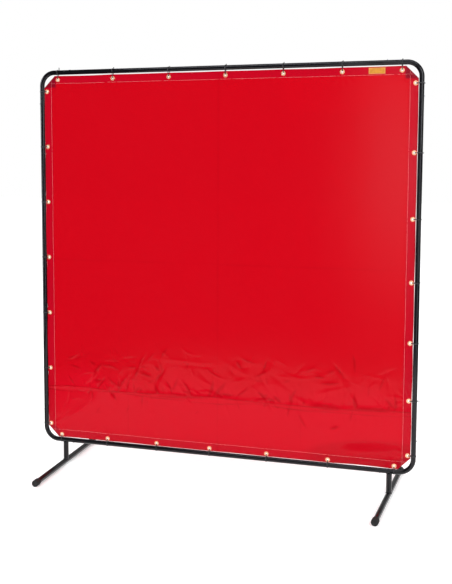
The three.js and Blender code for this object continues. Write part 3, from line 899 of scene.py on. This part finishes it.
def shapeSheet(x, z):
    # Where a point of the flat sheet goes: its new x and z, how far back it stands, and the painted shadow
    # that darkens it along the folds
    away = edgeDistance(x, z)
    shiftX, shiftZ = np.zeros_like(x), np.zeros_like(x)
    depth = np.zeros_like(x)
    for edge in edgeNames:
        level = edge in ("top", "bottom")
        run = x if level else z
        spots = [spot[0] if level else spot[1] for spot in eyelets[edge]]
        order = np.argsort(spots)
        share = np.interp(run, np.array(spots)[order], np.arange(7)[order].astype(float))
        gap = np.clip(np.floor(share), 0, 5).astype(int)
        inside = (share > 0) & (share < 6)
        pull = np.array(curtain["drawIn"][edge])[gap] * mm
        arch = np.where(inside, np.sin(math.pi * (share - gap)) ** 1.4, 0)
        fade = np.exp(-np.clip(away[edge], 0, None) / curtain["drawDepth"])
        pull = pull * arch * fade
        if edge == "top":
            shiftZ -= pull
        elif edge == "bottom":
            shiftZ += pull
        elif edge == "right":
            shiftX -= pull
        else:
            shiftX += pull
        # The edge also cups a little to the front or back between ties
        lean = np.where(gap % 2 == 0, 1.0, -0.7)
        depth += lean * arch * curtain["edgeCup"] * np.exp(-np.clip(away[edge], 0, None) / (60 * mm))
        # Tension lines fan from each eyelet into the sheet
        for (ex, ez), seed in zip(eyelets[edge], range(7)):
            dx, dz = x - ex, z - ez
            reach = np.sqrt(dx ** 2 + dz ** 2)
            angle = np.arctan2(dz, dx)
            fan = np.cos(angle * (9 + seed % 3) + seed * 1.7)
            depth += 0.55 * mm * fan * np.exp(-((reach - 0.032) / 0.03) ** 2)
    inner = np.ones_like(x)
    for edge in edgeNames:
        inner *= 1 - np.exp(-np.clip(away[edge], 0, None) / (120 * mm))
    depth += curtain["billow"] * inner * bandNoise(x, z * 0.8, 1.5, 3)
    depth += 0.6 * mm * inner * bandNoise(x, z * 0.6, 0.42, 5)
    # The crease mask is painted shadow: the colour is darkened along the fold lines and along the shaded
    # folds below
    creaseShadow = np.zeros_like(x)
    for kind, base, length, run, other in (
            ("level", sheetLow.z, sheetHeight, z, x), ("upright", sheetLow.x, sheetWidth, x, z)):
        for fold in foldLines[kind]:
            seed = int(fold["share"] * 1000)
            waver = fold["waver"] * bandNoise(other, other * 0, 0.55, seed)
            patch = 1 - fold["patch"] * (0.5 + 0.5 * bandNoise(other, other * 0, 0.22, seed + 1))
            aside = np.abs(run - base - length * fold["share"] - waver)
            depth += fold["rise"] * patch * np.exp(-aside / fold["wide"])
            line = np.exp(-(aside / (2.2 * mm)) ** 2) * np.clip(patch, 0, 1)
            creaseShadow = np.maximum(creaseShadow, line * min(1, abs(fold["rise"]) / mm))
    for fold in slackFolds:
        placed = dict(fold, x=sheetLow.x + fold["x"], z=sheetLow.z + fold["z"], turn=math.atan(fold["slope"]))
        ridge = ridgeAt(x, z, placed, 2)
        depth += ridge
        creaseShadow = np.maximum(creaseShadow, (np.abs(ridge) / mm - 0.4).clip(0, 1) * fold.get("shade", 0))
    for fold in crumples:
        near = (np.abs(x - fold["x"]) < fold["long"] * 2.5) & (np.abs(z - fold["z"]) < fold["long"] * 2.5)
        ridge = ridgeAt(x[near], z[near], fold)
        depth[near] += ridge
        # Strokes marked shade add painted shadow along their fold
        if fold["shade"]:
            creaseShadow[near] = np.maximum(creaseShadow[near], (np.abs(ridge) / mm - 0.25).clip(0, 0.5))
    # The stitched seam gathers the sheet very slightly
    seam = np.minimum.reduce([np.abs(away[edge] - curtain["hemWidth"] + 3 * mm) for edge in edgeNames])
    depth += 0.22 * mm * np.sin((x + z) / (9 * mm)) * np.exp(-seam / (7 * mm))
    return x + shiftX, z + shiftZ, depth * heldBack(x, z), creaseShadow


def cutAt(inset):
    # The size of the corner cut on an outline moved in by inset
    return curtain["cornerCut"] - inset * (2 - math.sqrt(2))


def outlineKnots(inset, cut):
    x, low, high = sheetHigh.x - inset, sheetLow.z + inset, sheetHigh.z - inset
    if cut == 0:
        return [(-x, low), (x, low), (x, high), (-x, high)]
    return [(-x, low + cut), (-x + cut, low), (x - cut, low), (x, low + cut),
            (x, high - cut), (x - cut, high), (-x + cut, high), (-x, high - cut)]


def stepped(knots, step):
    # Points at an even step round a closed outline
    points = []
    for (ax, az), (bx, bz) in zip(knots, knots[1:] + knots[:1]):
        count = max(1, round(math.hypot(bx - ax, bz - az) / step))
        points += [(ax + (bx - ax) * i / count, az + (bz - az) * i / count) for i in range(count)]
    return points


def insideOutline(x, z, inset, cut):
    halfX, midZ, halfZ = sheetHigh.x - inset, (sheetLow.z + sheetHigh.z) / 2, sheetHeight / 2 - inset
    ax, az = np.abs(x), np.abs(z - midZ)
    return (ax < halfX) & (az < halfZ) & ((halfX - ax) + (halfZ - az) > cut)


def clearOfEyelets(x, z, radius):
    clear = np.ones_like(x, bool)
    for ex, ez in allEyelets:
        clear &= (x - ex) ** 2 + (z - ez) ** 2 > radius ** 2
    return clear


def gridPoints():
    # A coarse grid, and a fine one across the crumpled band
    low, high = (sheetLow.z + share for share in curtain["fineBand"])
    grids = []
    for step, wanted in ((curtain["gridStep"], False), (curtain["fineStep"], True)):
        columns, rows = np.arange(sheetLow.x, sheetHigh.x, step), np.arange(sheetLow.z, sheetHigh.z, step)
        gridX, gridZ = [grid.ravel() for grid in np.meshgrid(columns, rows)]
        keep = ((gridZ > low) & (gridZ < high)) == wanted
        grids.append(np.stack([gridX[keep], gridZ[keep]], 1))
    return np.concatenate(grids)


def triangulated(outlines, inside, holes=True):
    # A flat triangulated sheet in X and Z; inside(x, z, margin) says what belongs to it
    step = curtain["gridStep"]
    points, loops = [], []

    def addLoop(loop, isEdge=True):
        if isEdge:
            loops.append(range(len(points), len(points) + len(loop)))
        points.extend(Vector(p) for p in loop)

    for knots in outlines:
        addLoop(stepped(knots, step * 0.7))
    hole = curtain["eyeletHole"] if holes else 0
    collar = hole + curtain["eyeletCollar"] if holes else 0
    for ex, ez in allEyelets if holes else ():
        for radius in (hole, collar):
            turns = [math.pi * k / 12 for k in range(24)]
            circle = [(ex + radius * math.cos(turn), ez + radius * math.sin(turn)) for turn in turns]
            addLoop(circle, radius == hole)
    grid = gridPoints()
    keep = inside(grid[:, 0], grid[:, 1], step * 0.3)
    if holes:
        keep &= clearOfEyelets(grid[:, 0], grid[:, 1], collar + step * 0.3)
    points += [Vector(p) for p in grid[keep].tolist()]
    edges = [(a, b) for loop in loops for a, b in zip(loop, list(loop[1:]) + [loop[0]])]
    verts, _, faces, *_ = delaunay_2d_cdt(points, edges, [], 0, 1e-7, False)
    flat, faces = np.array([tuple(v) for v in verts]), np.array(faces)
    centres = flat[faces].mean(1)
    wanted = inside(centres[:, 0], centres[:, 1], 0)
    if holes:
        wanted &= clearOfEyelets(centres[:, 0], centres[:, 1], hole * 0.98)
    return flat, faces[wanted]


def thickened(flat, faces, front, back):
    # Closes a flat sheet into a thin solid whose faces stand at depths front and back
    x, z, depth, creaseShadow = shapeSheet(flat[:, 0], flat[:, 1])
    count = len(flat)
    verts = np.zeros((count * 2, 3))
    verts[:count] = np.stack([x, depth + front, z], 1)
    verts[count:] = np.stack([x, depth + back, z], 1)
    a, b, c = faces[:, 0], faces[:, 1], faces[:, 2]
    first, second = flat[b] - flat[a], flat[c] - flat[a]
    areas = first[:, 0] * second[:, 1] - first[:, 1] * second[:, 0]
    faces = np.where((areas > 0)[:, None], faces, faces[:, ::-1])
    sides = np.concatenate([faces[:, [0, 1]], faces[:, [1, 2]], faces[:, [2, 0]]])
    there = set(map(tuple, sides.tolist()))
    rim = [(i, j) for i, j in there if (j, i) not in there]
    rim.sort()
    made = [tuple(f) for f in faces.tolist()]
    made += [tuple(i + count for i in reversed(f)) for f in faces.tolist()]
    made += [(j, i, i + count, j + count) for i, j in rim]
    return verts, made, creaseShadow


def addMask(mesh, label, values):
    layer = mesh.attributes.new(label, "FLOAT", "POINT")
    layer.data.foreach_set("value", np.asarray(values, np.float32))


def softStep(value, low, high):
    share = np.clip((value - low) / (high - low), 0, 1)
    return share * share * (3 - 2 * share)


def inFlap(x, z, margin):
    # The corners are folded over behind, which leaves a triangle of doubled cloth inside each cut
    midZ = (sheetLow.z + sheetHigh.z) / 2
    across, up = sheetWidth / 2 - np.abs(x), sheetHeight / 2 - np.abs(z - midZ)
    cut = curtain["cornerCut"] - margin
    return (across < cut) & (up < cut) & (across + up > curtain["cornerCut"] + margin * 1.4)


def makeSheetPiece(name, flat, faces, front, back):
    verts, made, creaseShadow = thickened(flat, faces, front, back)
    used = sorted({i for f in made for i in f})
    index = {old: new for new, old in enumerate(used)}
    mesh = bpy.data.meshes.new(name)
    mesh.from_pydata(verts[used].tolist(), [], [tuple(index[i] for i in f) for f in made])
    mesh.validate()
    mesh.polygons.foreach_set("use_smooth", [True] * len(mesh.polygons))
    mesh.set_sharp_from_angle(angle=math.radians(50))
    x, z = np.concatenate([flat, flat])[used].T
    away = edgeDistance(x, z)
    nearest = np.minimum.reduce([away[edge] for edge in edgeNames])
    hem = 1 - softStep(nearest, curtain["hemWidth"] - 1 * mm, curtain["hemWidth"] + 1 * mm)
    addMask(mesh, "hemShade", hem)
    # The doubled corner triangle is painted darker: a painted shade for the light the extra layers hold back
    addMask(mesh, "stackShade", inFlap(x, z, -1 * mm).astype(float))
    # Painted shadow along the folds
    addMask(mesh, "creaseShadowShade", np.concatenate([creaseShadow, creaseShadow])[used])
    # The lower sheet is painted paler: a painted reflection of the bright floor, fading out softly above that
    # height
    low = curtain["paintedReflectionBelow"] + 0.03 * bandNoise(x, z, 0.35, 12)
    addMask(mesh, "paintedReflectionShade", (1 - softStep(z - sheetLow.z, low - 0.16, low)) * (1 - 0.5 * hem))
    return mesh


half = curtain["thickness"] / 2
sheetFront, sheetBack = -half * 1.9, half * 0.1
hemFront = sheetBack + curtain["layerGap"]
hemRear = hemFront + curtain["thickness"]
flapFront = hemRear + curtain["layerGap"]

wholeFlat = triangulated([outlineKnots(0, cutAt(0))], lambda x, z, m: insideOutline(x, z, m, cutAt(m)))
sheetMesh = makeSheetPiece("curtain_sheet", *wholeFlat, sheetFront, sheetBack)
sheet = addPiece("curtain_sheet", sheetMesh, vinyl, "frame", ("curtain",))

trim = 0.3 * mm  # the hem stops this far inside the sheet's edge


def inHem(x, z, margin):
    outside = insideOutline(x, z, trim + margin, cutAt(trim + margin))
    return outside & ~insideOutline(x, z, curtain["hemWidth"] - margin, 0)


hemFlat = triangulated([outlineKnots(trim, cutAt(trim)), outlineKnots(curtain["hemWidth"], 0)], inHem)
hemMesh = makeSheetPiece("curtain_hem", *hemFlat, hemFront, hemRear)
addPiece("curtain_hem", hemMesh, vinyl, "frame")
for name, side, rise in corners:
    cut, inset = curtain["cornerCut"], 0.8 * mm
    cornerX, cornerZ = side * sheetHigh.x, sheetHigh.z if rise > 0 else sheetLow.z
    knots = [(cornerX - side * across, cornerZ - rise * up) for across, up in (
        (cut - inset, inset * 2.4), (inset * 2.4, cut - inset), (cut - inset, cut - inset))]
    flapFlat = triangulated(
        [knots], lambda x, z, m: inFlap(x, z, m) & (x * side > 0) & ((z - 1) * rise > 0), False)
    mesh = makeSheetPiece("flap", *flapFlat, flapFront, flapFront + curtain["thickness"])
    addPiece(f"curtain_flap_{name}", mesh, vinyl, "frame")
print("curtain made:", len(sheetMesh.vertices), "points")

# Stitches: short rounded runs of thread along the hem, back and front

stitch = {
    "pitch": 5.6 * mm,
    "long": 4.4 * mm,
    "thick": 0.95 * mm,
    "fromHemEdge": 4 * mm,
    "endIn": 22 * mm,  # from the curtain's edge to the end of a run
    "sides": 6,
}


def stitchRun(points, step, front, back):
    # points are a flat polyline in X and Z; the run lies on the sheet at both depths
    shapes = []
    spots = []
    for (ax, az), (bx, bz) in zip(points, points[1:]):
        length = math.hypot(bx - ax, bz - az)
        count = max(1, int(length / step))
        for i in range(count):
            share = (i + 0.5) / count
            spots.append((ax + (bx - ax) * share, az + (bz - az) * share, math.atan2(bz - az, bx - ax)))
    flat = np.array(spots)
    x, z, depth, _ = shapeSheet(flat[:, 0], flat[:, 1])
    unit = [(0.35, 0.0), (0.8, 0.12), (1.0, 0.5), (0.8, 0.88), (0.35, 1.0)]
    for px, pz, py, (_, _, angle) in zip(x, z, depth, spots):
        run = Vector((math.cos(angle), 0, math.sin(angle)))
        side = Vector((-math.sin(angle), 0, math.cos(angle)))
        for level in (front, back):
            centre = Vector((px, py + level, pz))
            rings = []
            for swell, share in unit:
                at = centre + run * ((share - 0.5) * stitch["long"])
                rings.append(ringOf(at, side, along["y"] * 0.7, stitch["thick"] / 2 * swell, stitch["sides"]))
            shapes.append(skin(rings))
    return joined(shapes)


def hemStitches():
    # One straight run along each edge, right across the hems it meets
    inset = curtain["hemWidth"] - stitch["fromHemEdge"]
    x, low, high = sheetHigh.x - inset, sheetLow.z + inset, sheetHigh.z - inset
    endIn = stitch["endIn"]
    endX, endLow, endHigh = sheetHigh.x - endIn, sheetLow.z + endIn, sheetHigh.z - endIn
    return [[(-endX, high), (endX, high)], [(-endX, low), (endX, low)],
            [(-x, endLow), (-x, endHigh)], [(x, endLow), (x, endHigh)]]


runs = [stitchRun(run, stitch["pitch"], sheetFront, hemRear) for run in hemStitches()]
stitchMesh = makeMesh("stitches", *joined(runs), softSharpAngle)
addPiece("curtain_stitches", stitchMesh, thread, "frame")
print("hem and stitches made")

# Brass eyelets

eyelet = {
    "radius": 10.3 * mm,
    "hole": 4.1 * mm,
    "rise": 1.75 * mm,
    "roll": 1.25 * mm,  # radius of the rolled mouth
    "washer": -1.35 * mm,  # the washer's back, from the sheet's face
    "sides": 40,
    "splits": 6,
}


def eyeletShape():
    # Turned about +Z, which points to the front: a domed flange, a rolled barrel and a washer behind
    r, hole, rise = eyelet["radius"], eyelet["hole"], eyelet["rise"]
    roll, washer = eyelet["roll"], eyelet["washer"]
    profile = []
    for i in range(9):  # the roll at the mouth
        angle = math.pi - math.pi * i / 8
        mouth = 0.45 * mm + (rise - 0.45 * mm) * math.sin(angle)
        profile.append((hole + roll + roll * math.cos(angle), mouth))
    profile += [(hole + 2.9 * mm, 0.62 * mm), (r - 1.6 * mm, 0.78 * mm), (r - 0.6 * mm, 0.66 * mm),
                (r - 0.1 * mm, 0.42 * mm), (r, 0.1 * mm), (r - 0.25 * mm, -0.05 * mm)]
    back = [(r - 0.9 * mm, -0.05 * mm), (r - 0.9 * mm, washer)]
    profile += back + [(hole + roll * 2 - 0.1 * mm, washer)]
    for i in range(9):
        angle = math.pi * i / 8
        profile.append((hole + roll + roll * math.cos(angle), washer - 0.55 * mm * math.sin(angle)))
    return spun(profile, eyelet["sides"])


def eyeletMesh():
    verts, faces = eyeletShape()
    washer = eyelet["washer"]
    rolled = []
    for v in verts:  # the rolled rim behind is split into petals by the setting tool
        angle = math.atan2(v.y, v.x)
        petal = abs(math.sin(angle * eyelet["splits"] / 2)) ** 0.35
        z = washer + (v.z - washer) * (0.45 + 0.55 * petal) if v.z < washer - 0.01 * mm else v.z
        rolled.append(Vector((v.x, v.y, z)))
    return rolled, faces


eyeletBase = eyeletMesh()
for edge in edgeNames:
    for i, (x, z) in enumerate(eyelets[edge]):
        spin = Matrix.Rotation(0.9 * i, 4, "Z")
        place = aimed((x, sheetFront - 0.05 * mm, z), -along["y"], along["x"]) @ spin
        mesh = makeMesh("eyelet", *moved(eyeletBase, place), 50)
        addPiece(f"eyelet_{edge}_{i + 1}", mesh, brass, "frame")
print("eyelets made")

# Cable ties

tie = {
    "wide": 3.6 * mm,
    "thick": 1.2 * mm,
    "tooth": 1.3 * mm,  # spacing of the strap's teeth
    "toothDepth": 0.32 * mm,
    "slack": 0.35 * mm,
    "head": (6.4 * mm, 4.8 * mm, 5.2 * mm),
    # How far each tail stands out past the tube (mm), going clockwise round the front
    "tails": {"top": (14, 8, 7, 8, 7, 7, 6), "right": (4, 3, 1, 1, 1, 11, 1),
              "bottom": (1, 1, 2, 5, 5, 5, 3), "left": (1, 1, 1, 1, 1, 4, 5)},
    "seed": 4,
}


def strapRing(centre, outward, sideways, thick, wide):
    # A rounded rectangle: outward is across the strap's thickness
    half, broad = thick / 2, wide / 2
    corner = min(half, broad) * 0.45
    outline = [
        (half, broad - corner), (half - corner, broad), (corner - half, broad), (-half, broad - corner),
        (-half, corner - broad), (corner - half, -broad), (half - corner, -broad), (half, corner - broad)]
    return [centre + outward * a + sideways * b for a, b in outline]


def tieShape(reach, tailOut, chance):
    # Drawn from the tube's axis: +X in to the curtain, +Y back, +Z along the tube
    wide, thick = tie["wide"], tie["thick"]
    big = tubeRadius + tie["slack"] + thick / 2
    small = 2.6 * mm
    far = reach - 3.55 * mm - small + thick / 2
    lean = math.asin((big - small) / far)
    sections = []
    for i in range(9):
        angle = -math.pi / 2 + lean + (math.pi - 2 * lean) * i / 8
        sections.append((far + small * math.cos(angle), small * math.sin(angle)))
    for i in range(29):
        angle = math.pi / 2 - lean + (math.pi + 2 * lean) * i / 28
        sections.append((big * math.cos(angle), big * math.sin(angle)))
    # walk round at an even step, so that the teeth are even
    loop = sections + sections[:1]
    lengths = [math.dist(a, b) for a, b in zip(loop, loop[1:])]
    total = sum(lengths)
    count = 2 * round(total / tie["tooth"])
    ends = np.concatenate([[0], np.cumsum(lengths)])
    xs, ys = np.array(loop).T
    rings = []
    for i in range(count):
        at = total * i / count
        x, y = np.interp(at, ends, xs), np.interp(at, ends, ys)
        nx, ny = np.interp((at + 0.2 * mm) % total, ends, xs), np.interp((at + 0.2 * mm) % total, ends, ys)
        run = Vector((nx - x, ny - y, 0)).normalized()
        outward = Vector((run.y, -run.x, 0))
        depth = thick - (tie["toothDepth"] if i % 2 else 0)
        centre = Vector((x, y, 0)) - outward * ((thick - depth) / 2)
        rings.append(strapRing(centre, outward, along["z"], depth, wide))
    strap = skin(rings, closed=True)
    headX, headY, headZ = tie["head"]
    headAt = Vector((chance.uniform(-1, 1) * mm, big + headY / 2 - 0.4 * mm, 0))
    head = moved(roundedBox(headX, headY, headZ, 0.7 * mm, 3), Matrix.Translation(headAt))
    lipAt = Matrix.Translation(headAt + Vector((-headX * 0.42, 0, 0)))
    lip = moved(roundedBox(headX * 0.45, headY * 0.5, headZ * 0.72, 0.3 * mm), lipAt)
    tailLength = tubeRadius + tailOut * mm
    droop = chance.uniform(-0.1, 0.1) * tailLength
    tailCount = max(4, round(tailLength / tie["tooth"]) * 2)
    tail = []
    for i in range(tailCount + 1):
        share = i / tailCount
        depth = thick - (tie["toothDepth"] if i % 2 else 0)
        slant = 0.6 * mm * (share == 1)
        centre = Vector((headAt.x - share * tailLength + slant, headAt.y + droop * share ** 2, 0))
        tail.append(strapRing(centre, along["y"], along["z"], depth, wide))
    return joined([strap, head, lip, skin(tail)])


chance = random.Random(tie["seed"])
inward = {"top": -along["z"], "right": -along["x"], "bottom": along["z"], "left": along["x"]}
for edge in edgeNames:
    for i, (x, z) in enumerate(eyelets[edge]):
        node = f"cable_tie_{edge}_{i + 1}"
        if edge in ("top", "bottom"):
            axis = Vector((x, 0, railZ[1 if edge == "top" else -1]))
        else:
            axis = Vector((sideX if edge == "right" else -sideX, 0, z))
        reach = abs((Vector((x, 0, z)) - axis).dot(inward[edge]))
        way = inward[edge]
        turned = Matrix((way, along["y"], way.cross(along["y"]))).transposed().to_4x4()
        twist = Matrix.Rotation(chance.uniform(-0.05, 0.05), 4, "X")
        placed = Matrix.Translation(axis) @ turned @ twist
        shape = moved(tieShape(reach, tie["tails"][edge][i], chance), placed)
        addPiece(f"{node}_toothed", makeMesh(node, *shape, 32), nylon, "frame", (node,))
print("cable ties made")

# Label

label = {
    "thickness": 0.45 * mm,
    "offSheet": 0.08 * mm,
    "puff": 0.25 * mm,
    "step": 3 * mm,
    "seamIn": 1.8 * mm,
    "stitchPitch": 3.6 * mm,
}
labelLow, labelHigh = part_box("curtain_label")


def makeLabel():
    columns = np.linspace(labelLow.x, labelHigh.x, round(size("curtain_label").x / label["step"]) + 1)
    rows = np.linspace(labelLow.z, labelHigh.z, round(size("curtain_label").z / label["step"]) + 1)
    gridX, gridZ = [a.ravel() for a in np.meshgrid(columns, rows)]
    _, _, depth, _ = shapeSheet(gridX, gridZ)
    across = len(columns)
    edgeIn = np.minimum.reduce(
        [gridX - labelLow.x, labelHigh.x - gridX, gridZ - labelLow.z, labelHigh.z - gridZ])
    puff = label["puff"] * softStep(edgeIn, 1 * mm, 6 * mm)
    front = sheetFront + depth - label["offSheet"] - label["thickness"] - puff
    back = sheetFront + depth - label["offSheet"] - puff
    count = len(gridX)
    verts = list(zip(gridX, front, gridZ)) + list(zip(gridX, back, gridZ))
    quads = [(j * across + i, j * across + i + 1, (j + 1) * across + i + 1, (j + 1) * across + i)
             for j in range(len(rows) - 1) for i in range(across - 1)]
    border = list(range(across)) + [j * across + across - 1 for j in range(1, len(rows))]
    border += [(len(rows) - 1) * across + i for i in range(across - 2, -1, -1)]
    border += [j * across for j in range(len(rows) - 2, 0, -1)]
    faces = quads + [tuple(i + count for i in reversed(q)) for q in quads]
    faces += [(b, a, a + count, b + count) for a, b in zip(border, border[1:] + border[:1])]
    return verts, faces


labelMesh = makeMesh("label", *makeLabel(), 50)
addPiece("curtain_label_tape", labelMesh, labelTape, "frame", ("curtain_label",))
seam = label["seamIn"]
corner1, corner2 = (labelLow.x + seam, labelLow.z + seam), (labelHigh.x - seam, labelHigh.z - seam)
seamLoop = [corner1, (corner2[0], corner1[1]), corner2, (corner1[0], corner2[1]), corner1]
labelFace = sheetFront - label["offSheet"] - label["thickness"] - 0.05 * mm
labelSeam = stitchRun(seamLoop, label["stitchPitch"], labelFace, labelFace)
labelSeamMesh = makeMesh("label_seam", *labelSeam, softSharpAngle)
addPiece("curtain_label_stitches", labelSeamMesh, thread, "frame")
print("label made")

# Studio

studio = {
    "floor": (0.955, 0.955, 0.96),
    "floorGlow": 0.25,  # keeps the floor white under the curtain
    "floorReach": 40,
    "backdrop": (1.0, 1.0, 1.0),
    "surround": (1.2, 1.2, 1.2),  # what lights the piece from all round
    # How bright a shiny face sees the room
    "mirrored": {"front": 0.02, "rear": 0.4, "above": 0.15, "sides": 0.1},
    "lights": {
        "key": {"place": (2.7, -1.7, 2.5), "power": 21, "size": 1.3, "mirrored": True},
        "overhead": {"place": (0.0, -0.9, 3.5), "power": 9, "size": 2.4, "mirrored": True},
        "low": {"place": (-0.2, -2.0, 0.35), "power": 4, "size": 1.6, "mirrored": False},
        "rear": {"place": (0.5, 3.2, 3.0), "power": 9, "size": 2.4, "mirrored": True},
    },
    # Tall and long bright strips, seen as streaks along the tubes
    "strips": {
        "left": {"ends": ((-3.5, -1.65, 0.1), (-3.5, -1.65, 3.2)), "wide": 1.5, "strength": 10},
        "right": {"ends": ((1.95, -2.2, 0.1), (1.95, -2.2, 3.2)), "wide": 0.45, "strength": 8},
        "above": {"ends": ((-2.2, -1.5, 3.9), (2.2, -1.5, 3.9)), "wide": 0.5, "strength": 8},
        "tint": (0.9, 0.9, 1.0),
    },
    # What shiny faces see of the floor outside the paper: across, front to back
    "cloth": {"paper": ((-1.25, 3.0), (-2.32, 0.9)), "far": 12, "dark": 0.02},
    # A dark card on two sides of a bright paper floor, which the glossy curtain mirrors
    "card": {"y": -2.32, "wingX": -1.25, "wingEnd": -0.3, "right": 3.0, "high": 3.2, "dark": 0.02,
             "foot": 0.75, "footHeight": 0.11, "glow": 2.3, "glowAt": (0.6, 1.5), "glowSize": (0.34, 0.85)},
}


def addLight(name, values):
    data = bpy.data.lights.new(name, "AREA")
    data.energy = values["power"]
    data.size = values["size"]
    obj = bpy.data.objects.new(name, data)
    place = Vector(values["place"])
    obj.location = place
    obj.rotation_euler = (Vector((0, 0, 0.9)) - place).to_track_quat("-Z", "Y").to_euler()
    obj.visible_glossy = values["mirrored"]
    bpy.context.scene.collection.objects.link(obj)


def addPlanes(name, spots, faces, material):
    mesh = bpy.data.meshes.new(name)
    mesh.from_pydata(spots, [], faces)
    mesh.materials.append(material)
    obj = bpy.data.objects.new(name, mesh)
    bpy.context.scene.collection.objects.link(obj)
    return obj


def startGlow(name, tint=(1.0, 1.0, 1.0), strength=1.0):
    # A material that only glows
    material = bpy.data.materials.new(name)
    material.use_nodes = True
    tree = material.node_tree
    tree.nodes.remove(tree.nodes["Principled BSDF"])
    light = tree.nodes.new("ShaderNodeEmission")
    light.inputs["Color"].default_value = (*tint, 1)
    light.inputs["Strength"].default_value = strength
    tree.links.new(light.outputs["Emission"], tree.nodes["Material Output"].inputs["Surface"])
    return material, tree, light


def showInMirrorsOnly(obj):
    obj.visible_camera = obj.visible_diffuse = obj.visible_shadow = obj.visible_transmission = False


def makeMirrorCard():
    # Seen by reflections only: dark, fading up from the bright floor, with a soft glow on the right
    card = studio["card"]
    material, tree, light = startGlow("mirrorCard")
    place = tree.nodes.new("ShaderNodeSeparateXYZ")
    tree.links.new(tree.nodes.new("ShaderNodeTexCoord").outputs["Object"], place.inputs["Vector"])

    def fading(value, amount):
        away = mathNode(tree, "EXPONENT", mathNode(tree, "MULTIPLY", value, -1))
        return mathNode(tree, "MULTIPLY", away, amount)

    squares = []
    for label, centre, wide in zip(("X", "Z"), card["glowAt"], card["glowSize"]):
        offset = mathNode(tree, "DIVIDE", mathNode(tree, "SUBTRACT", place.outputs[label], centre), wide)
        squares.append(mathNode(tree, "MULTIPLY", offset, offset))
    glow = fading(mathNode(tree, "ADD", *squares), card["glow"])
    foot = fading(mathNode(tree, "DIVIDE", place.outputs["Z"], card["footHeight"]), card["foot"])
    level = mathNode(tree, "ADD", mathNode(tree, "ADD", glow, foot), card["dark"])
    tree.links.new(level, light.inputs["Strength"])
    line = [(card["wingX"], card["wingEnd"]), (card["wingX"], card["y"]), (card["right"], card["y"])]
    spots = [(x, y, z) for z in (0, card["high"]) for x, y in line]
    showInMirrorsOnly(addPlanes("mirror_card", spots, [(0, 1, 4, 3), (1, 2, 5, 4)], material))


def makeStrips():
    # Seen by reflections only
    strips = dict(studio["strips"])
    tint = strips.pop("tint")
    for name, values in strips.items():
        material, _, _ = startGlow(f"{name}Strip", tint, values["strength"])
        low, high = (Vector(end) for end in values["ends"])
        toPiece = (Vector((0, 0, 1)) - (low + high) / 2).normalized()
        across = (high - low).cross(toPiece).normalized() * (values["wide"] / 2)
        spots = [low - across, low + across, high + across, high - across]
        strip = addPlanes(f"{name}_strip", [tuple(spot) for spot in spots], [(0, 1, 2, 3)], material)
        showInMirrorsOnly(strip)


def makeCloth():
    # A dark border round the bright paper, seen by reflections only
    cloth = studio["cloth"]
    material, _, _ = startGlow("darkCloth", strength=cloth["dark"])
    (left, right), (front, back) = cloth["paper"]
    far, lift = cloth["far"], 1.5 * mm
    inner = [(left, front, lift), (right, front, lift), (right, back, lift), (left, back, lift)]
    outer = [(-far, -far, lift), (far, -far, lift), (far, far, lift), (-far, far, lift)]
    faces = [(4 + i, 4 + (i + 1) % 4, (i + 1) % 4, i) for i in range(4)]
    showInMirrorsOnly(addPlanes("dark_cloth", inner + outer, faces, material))


def makeRoom():
    world = bpy.data.worlds.new("studio")
    world.use_nodes = True
    bpy.context.scene.world = world
    tree = world.node_tree
    ray = tree.nodes.new("ShaderNodeLightPath")
    way = tree.nodes.new("ShaderNodeSeparateXYZ")
    tree.links.new(tree.nodes.new("ShaderNodeTexCoord").outputs["Generated"], way.inputs["Vector"])
    room = studio["mirrored"]
    behind = mapNode(tree, way.outputs["Y"], 0.0, 0.5, room["front"], room["rear"])
    above = mapNode(tree, way.outputs["Z"], 0.45, 0.95, 0, room["above"])
    reflected = tree.nodes.new("ShaderNodeCombineColor")
    sideways = mapNode(tree, mathNode(tree, "ABSOLUTE", way.outputs["X"]), 0.6, 0.9, 0, room["sides"])
    level = mathNode(tree, "MAXIMUM", mathNode(tree, "MAXIMUM", behind, above), sideways)
    for channel in reflected.inputs:
        tree.links.new(level, channel)
    lighting = mixColour(tree, ray.outputs["Is Diffuse Ray"], reflected.outputs["Color"], studio["surround"])
    direct = mathNode(tree, "MAXIMUM", ray.outputs["Is Camera Ray"], ray.outputs["Is Transmission Ray"])
    seen = mixColour(tree, direct, lighting, studio["backdrop"])
    tree.links.new(seen, tree.nodes["Background"].inputs["Color"])


def makeStudio():
    bpy.context.scene.view_settings.view_transform = "Standard"
    material, tree, shader = startMaterial("paleFloor", {
        "Roughness": 0.9, "Specular IOR Level": 0.1,
        "Emission Color": (1, 1, 1, 1), "Emission Strength": studio["floorGlow"]})
    grain = placeGroup(tree, surfaceGrain, Grain_Scale=60, Drift_Scale=0.7)
    tone = tuple(value * 0.985 for value in studio["floor"])
    colour = mixColour(tree, grain.outputs["Drift"], tone, studio["floor"])
    tree.links.new(colour, shader.inputs["Base Color"])
    far = studio["floorReach"]
    spots = [(-far, -far, 0), (far, -far, 0), (far, far, 0), (-far, far, 0)]
    addPlanes("floor", spots, [(0, 1, 2, 3)], material)
    makeMirrorCard()
    makeStrips()
    makeCloth()
    for name, values in studio["lights"].items():
        addLight(name, values)
    makeRoom()


makeStudio()
print("studio made")
